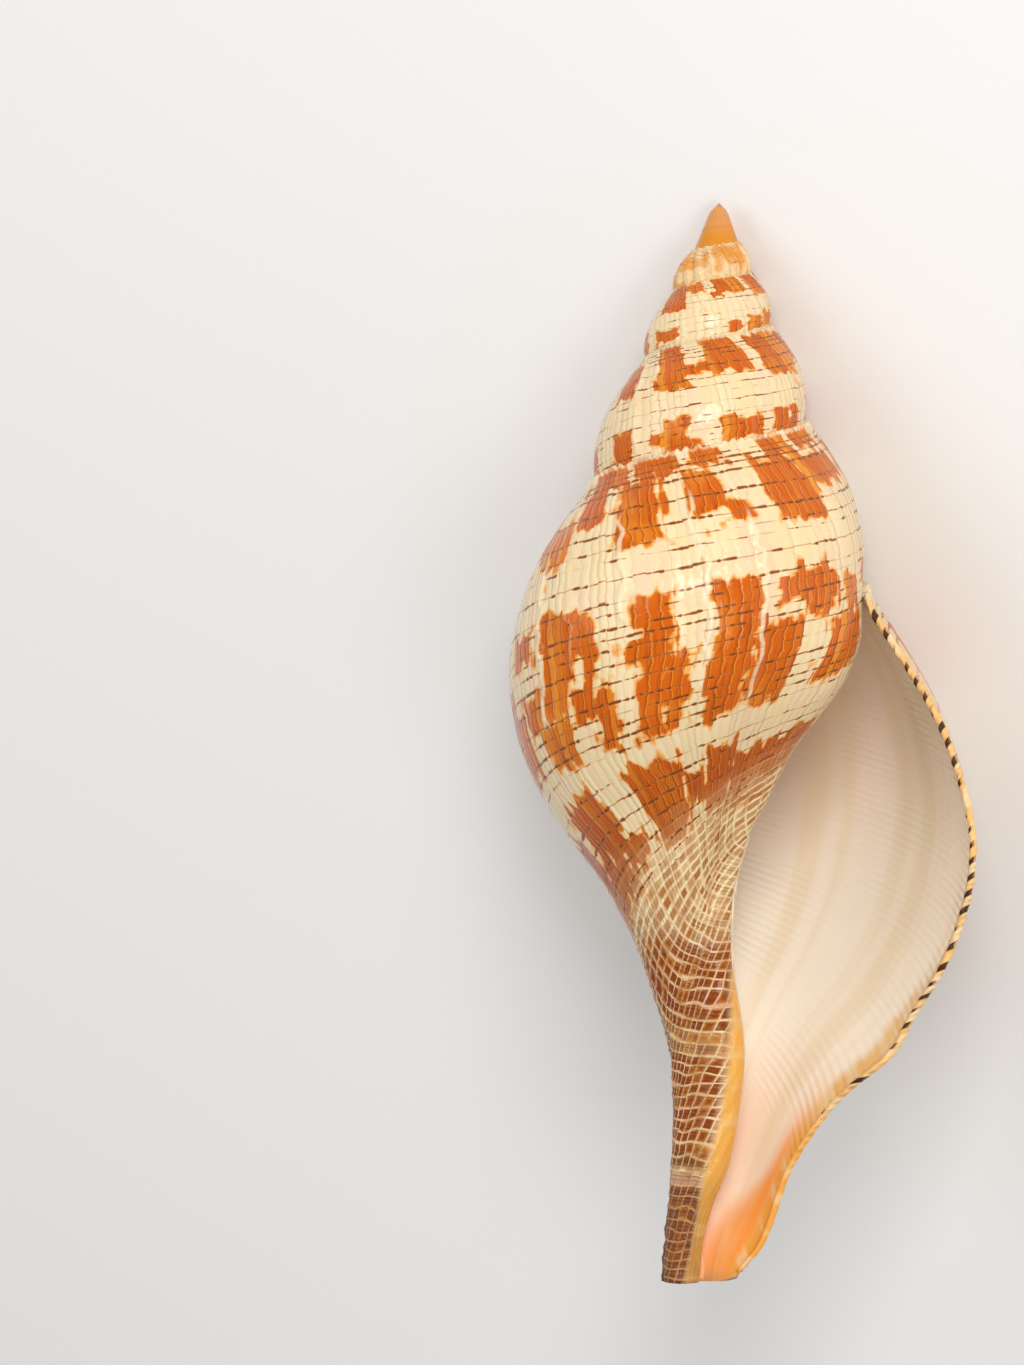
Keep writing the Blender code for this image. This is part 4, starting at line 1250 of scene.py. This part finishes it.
def polishedShell():
    # The outside and the inside share one polished material.
    tree = ShaderTree("polishedShell")
    growth, spiral = tree.value("growth"), tree.value("spiral")
    lineCount, outside = tree.value("lineCount"), tree.value("outside")
    ground = tree.add("ShaderNodeAttribute", {"attribute_name": "ground"}, output="Color")
    # About millimetres on the last whorl; further back a turn of growth counts for less.
    along = (1.0 - paint["turnShrink"] ** growth) * paint["turnLength"]
    down = spiral * paint["shellLength"]
    stage, part = growthStages(tree, along, down)
    lineNumber = (lineCount + 0.5).floor()
    shift = (tree.random(stage + 0.61) - 0.5) * 0.10
    lineDistance = (lineCount + shift).toNearest() * tree.value("lineGap")

    colour, blotch = blotchColours(tree, along, down, spiral, stage, part, lineNumber, ground)
    colour, pits = addCanalPattern(tree, colour, growth, spiral)
    colour, line = addSpiralLines(tree, along, colour, blotch, lineNumber, lineDistance)
    seam = spiral.above(0.3685, 0.3645) * outside * (tree.random(stage + 0.83) * 0.5 + 0.4)
    colour = tree.mix(seam, colour, paint["warmWhite"])
    # paler along each frill: partly the ridge's own pale colour, partly painted highlight
    colour = tree.mix(tree.value("frill").above(0.30, 0.75) * 0.65, colour, paint["warmWhite"])
    breakLine = tree.value("breakDistance").absolute().above(0.45, 0.15)
    crackLine = tree.value("crackDistance").absolute().above(0.30, 0.08)
    colour = tree.mix(breakLine.larger(crackLine * 0.8) * 0.85, colour, paint["scar"])
    colour = tree.mix(outside, interiorColour(tree, along, down, ground), colour)

    fine = tree.pattern("fineRidges", along, down)
    bump = tree.add("ShaderNodeBump", None, {
        "Strength": paint["bumpStrength"], "Distance": paint["bumpDistance"],
        "Height": surfaceHeight(tree, along, down, stage, part, line, pits, fine)})
    least, added = paint["roughness"]
    shader = tree.add("ShaderNodeBsdfPrincipled", None, {
        "Base Color": colour, "Roughness": least + fine * added, "Normal": bump,
        "Coat Weight": paint["coat"], "Coat Roughness": paint["coatRoughness"],
        "Specular IOR Level": paint["specular"]})
    tree.add("ShaderNodeOutputMaterial", None, {"Surface": shader})
    return tree.material


shellPiece = makeShell()
shellPiece.data.materials.append(polishedShell())
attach(shellPiece, "root")
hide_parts("shell")
print("shell finished: %d faces" % len(shellPiece.data.polygons))

studio = {
    "floorSize": 3.0,
    "floorColour": (0.87, 0.86, 0.84, 1.0),
    "floorRoughness": 0.9,
    "floorSpecular": 0.1,
    "cameraSpin": 13.6,  # degrees about the coil axis, from straight above the mouth
    "cameraRoll": 1.47,
    "cameraDistance": 5.0,  # in shell lengths
    "frameHeight": 1.264,
    "aim": (-0.179, 0.056),  # of the picture's middle, right and up of the axis's middle
    "worldStrength": 0.44,
    "lights": (
        # name, direction right / up / towards the camera, distance, size, watts
        ("keyLight", (0.04, 0.36, 1.0), 0.75, 0.24, 2.6),
        ("frontLight", (0.25, -0.20, 1.0), 1.0, 0.35, 2.0),
        ("fillLight", (-0.9, 0.25, 0.5), 0.9, 0.6, 1.8),
        ("sideLight", (1.0, 0.1, 0.45), 0.9, 0.5, 1.8),
    ),
}


def coilToWorld(vector):
    # A direction in the coil's own axes, turned as the shell lies.
    return restTurn @ Vector(vector)


def placeStudio():
    # The camera looks into the mouth from the coil's own side, and the lamps stand around it.
    spin = math.radians(studio["cameraSpin"])
    roll = math.radians(studio["cameraRoll"])
    back = coilToWorld((math.sin(spin), 0.0, math.cos(spin)))
    axis = coilToWorld((0.0, 1.0, 0.0))
    right = axis.cross(back)
    up = axis * math.cos(roll) - right * math.sin(roll)
    right = right * math.cos(roll) + axis * math.sin(roll)
    middle = shellLength * coilToWorld((0.0, -0.5, 0.0)) + Vector(shellPlace)
    spot = middle + back * studio["cameraDistance"] * shellLength
    aim = middle + (right * studio["aim"][0] + up * studio["aim"][1]) * shellLength
    away = (spot - aim).normalized()
    across = up.cross(away).normalized()
    turned = Matrix((across, away.cross(across), away)).transposed()
    camera = bpy.data.cameras.new("camera")
    camera.lens = camera.sensor_width * (spot - aim).length / (studio["frameHeight"] * shellLength)
    cameraObject = bpy.data.objects.new("camera", camera)
    cameraObject.matrix_world = Matrix.Translation(spot) @ turned.to_4x4()
    bpy.context.collection.objects.link(cameraObject)
    bpy.context.scene.camera = cameraObject
    for name, direction, distance, size, watts in studio["lights"]:
        lamp = bpy.data.lights.new(name, "AREA")
        lamp.shape, lamp.size, lamp.energy = "SQUARE", size, watts
        towards = (right * direction[0] + up * direction[1] + back * direction[2]).normalized()
        lampObject = bpy.data.objects.new(name, lamp)
        lampObject.location = middle + towards * distance
        lampObject.rotation_euler = towards.to_track_quat("Z", "Y").to_euler()
        bpy.context.collection.objects.link(lampObject)
    print("camera %.0f degrees above the floor" % math.degrees(math.asin(back.z)))


def makeFloor():
    # A plain pale square under the shell.
    half, low = 0.5 * studio["floorSize"], cadBox[0].z
    mesh = bpy.data.meshes.new("floor")
    mesh.from_pydata([(-half, -half, low), (half, -half, low), (half, half, low), (-half, half, low)],
                     [], [(0, 1, 2, 3)])
    floor = bpy.data.objects.new("floor", mesh)
    tree = ShaderTree("paleFloor")
    shader = tree.add("ShaderNodeBsdfPrincipled", None, {
        "Base Color": studio["floorColour"], "Roughness": studio["floorRoughness"],
        "Specular IOR Level": studio["floorSpecular"]})
    tree.add("ShaderNodeOutputMaterial", None, {"Surface": shader})
    mesh.materials.append(tree.material)
    bpy.context.collection.objects.link(floor)


def makeWorld():
    # An even white surround.
    world = bpy.data.worlds.new("studio")
    world.use_nodes = True
    background = world.node_tree.nodes["Background"]
    background.inputs["Color"].default_value = (1.0, 1.0, 1.0, 1.0)
    background.inputs["Strength"].default_value = studio["worldStrength"]
    bpy.context.scene.world = world


makeFloor()
makeWorld()
placeStudio()
bpy.context.scene.view_settings.view_transform = "Standard"
print("studio ready")
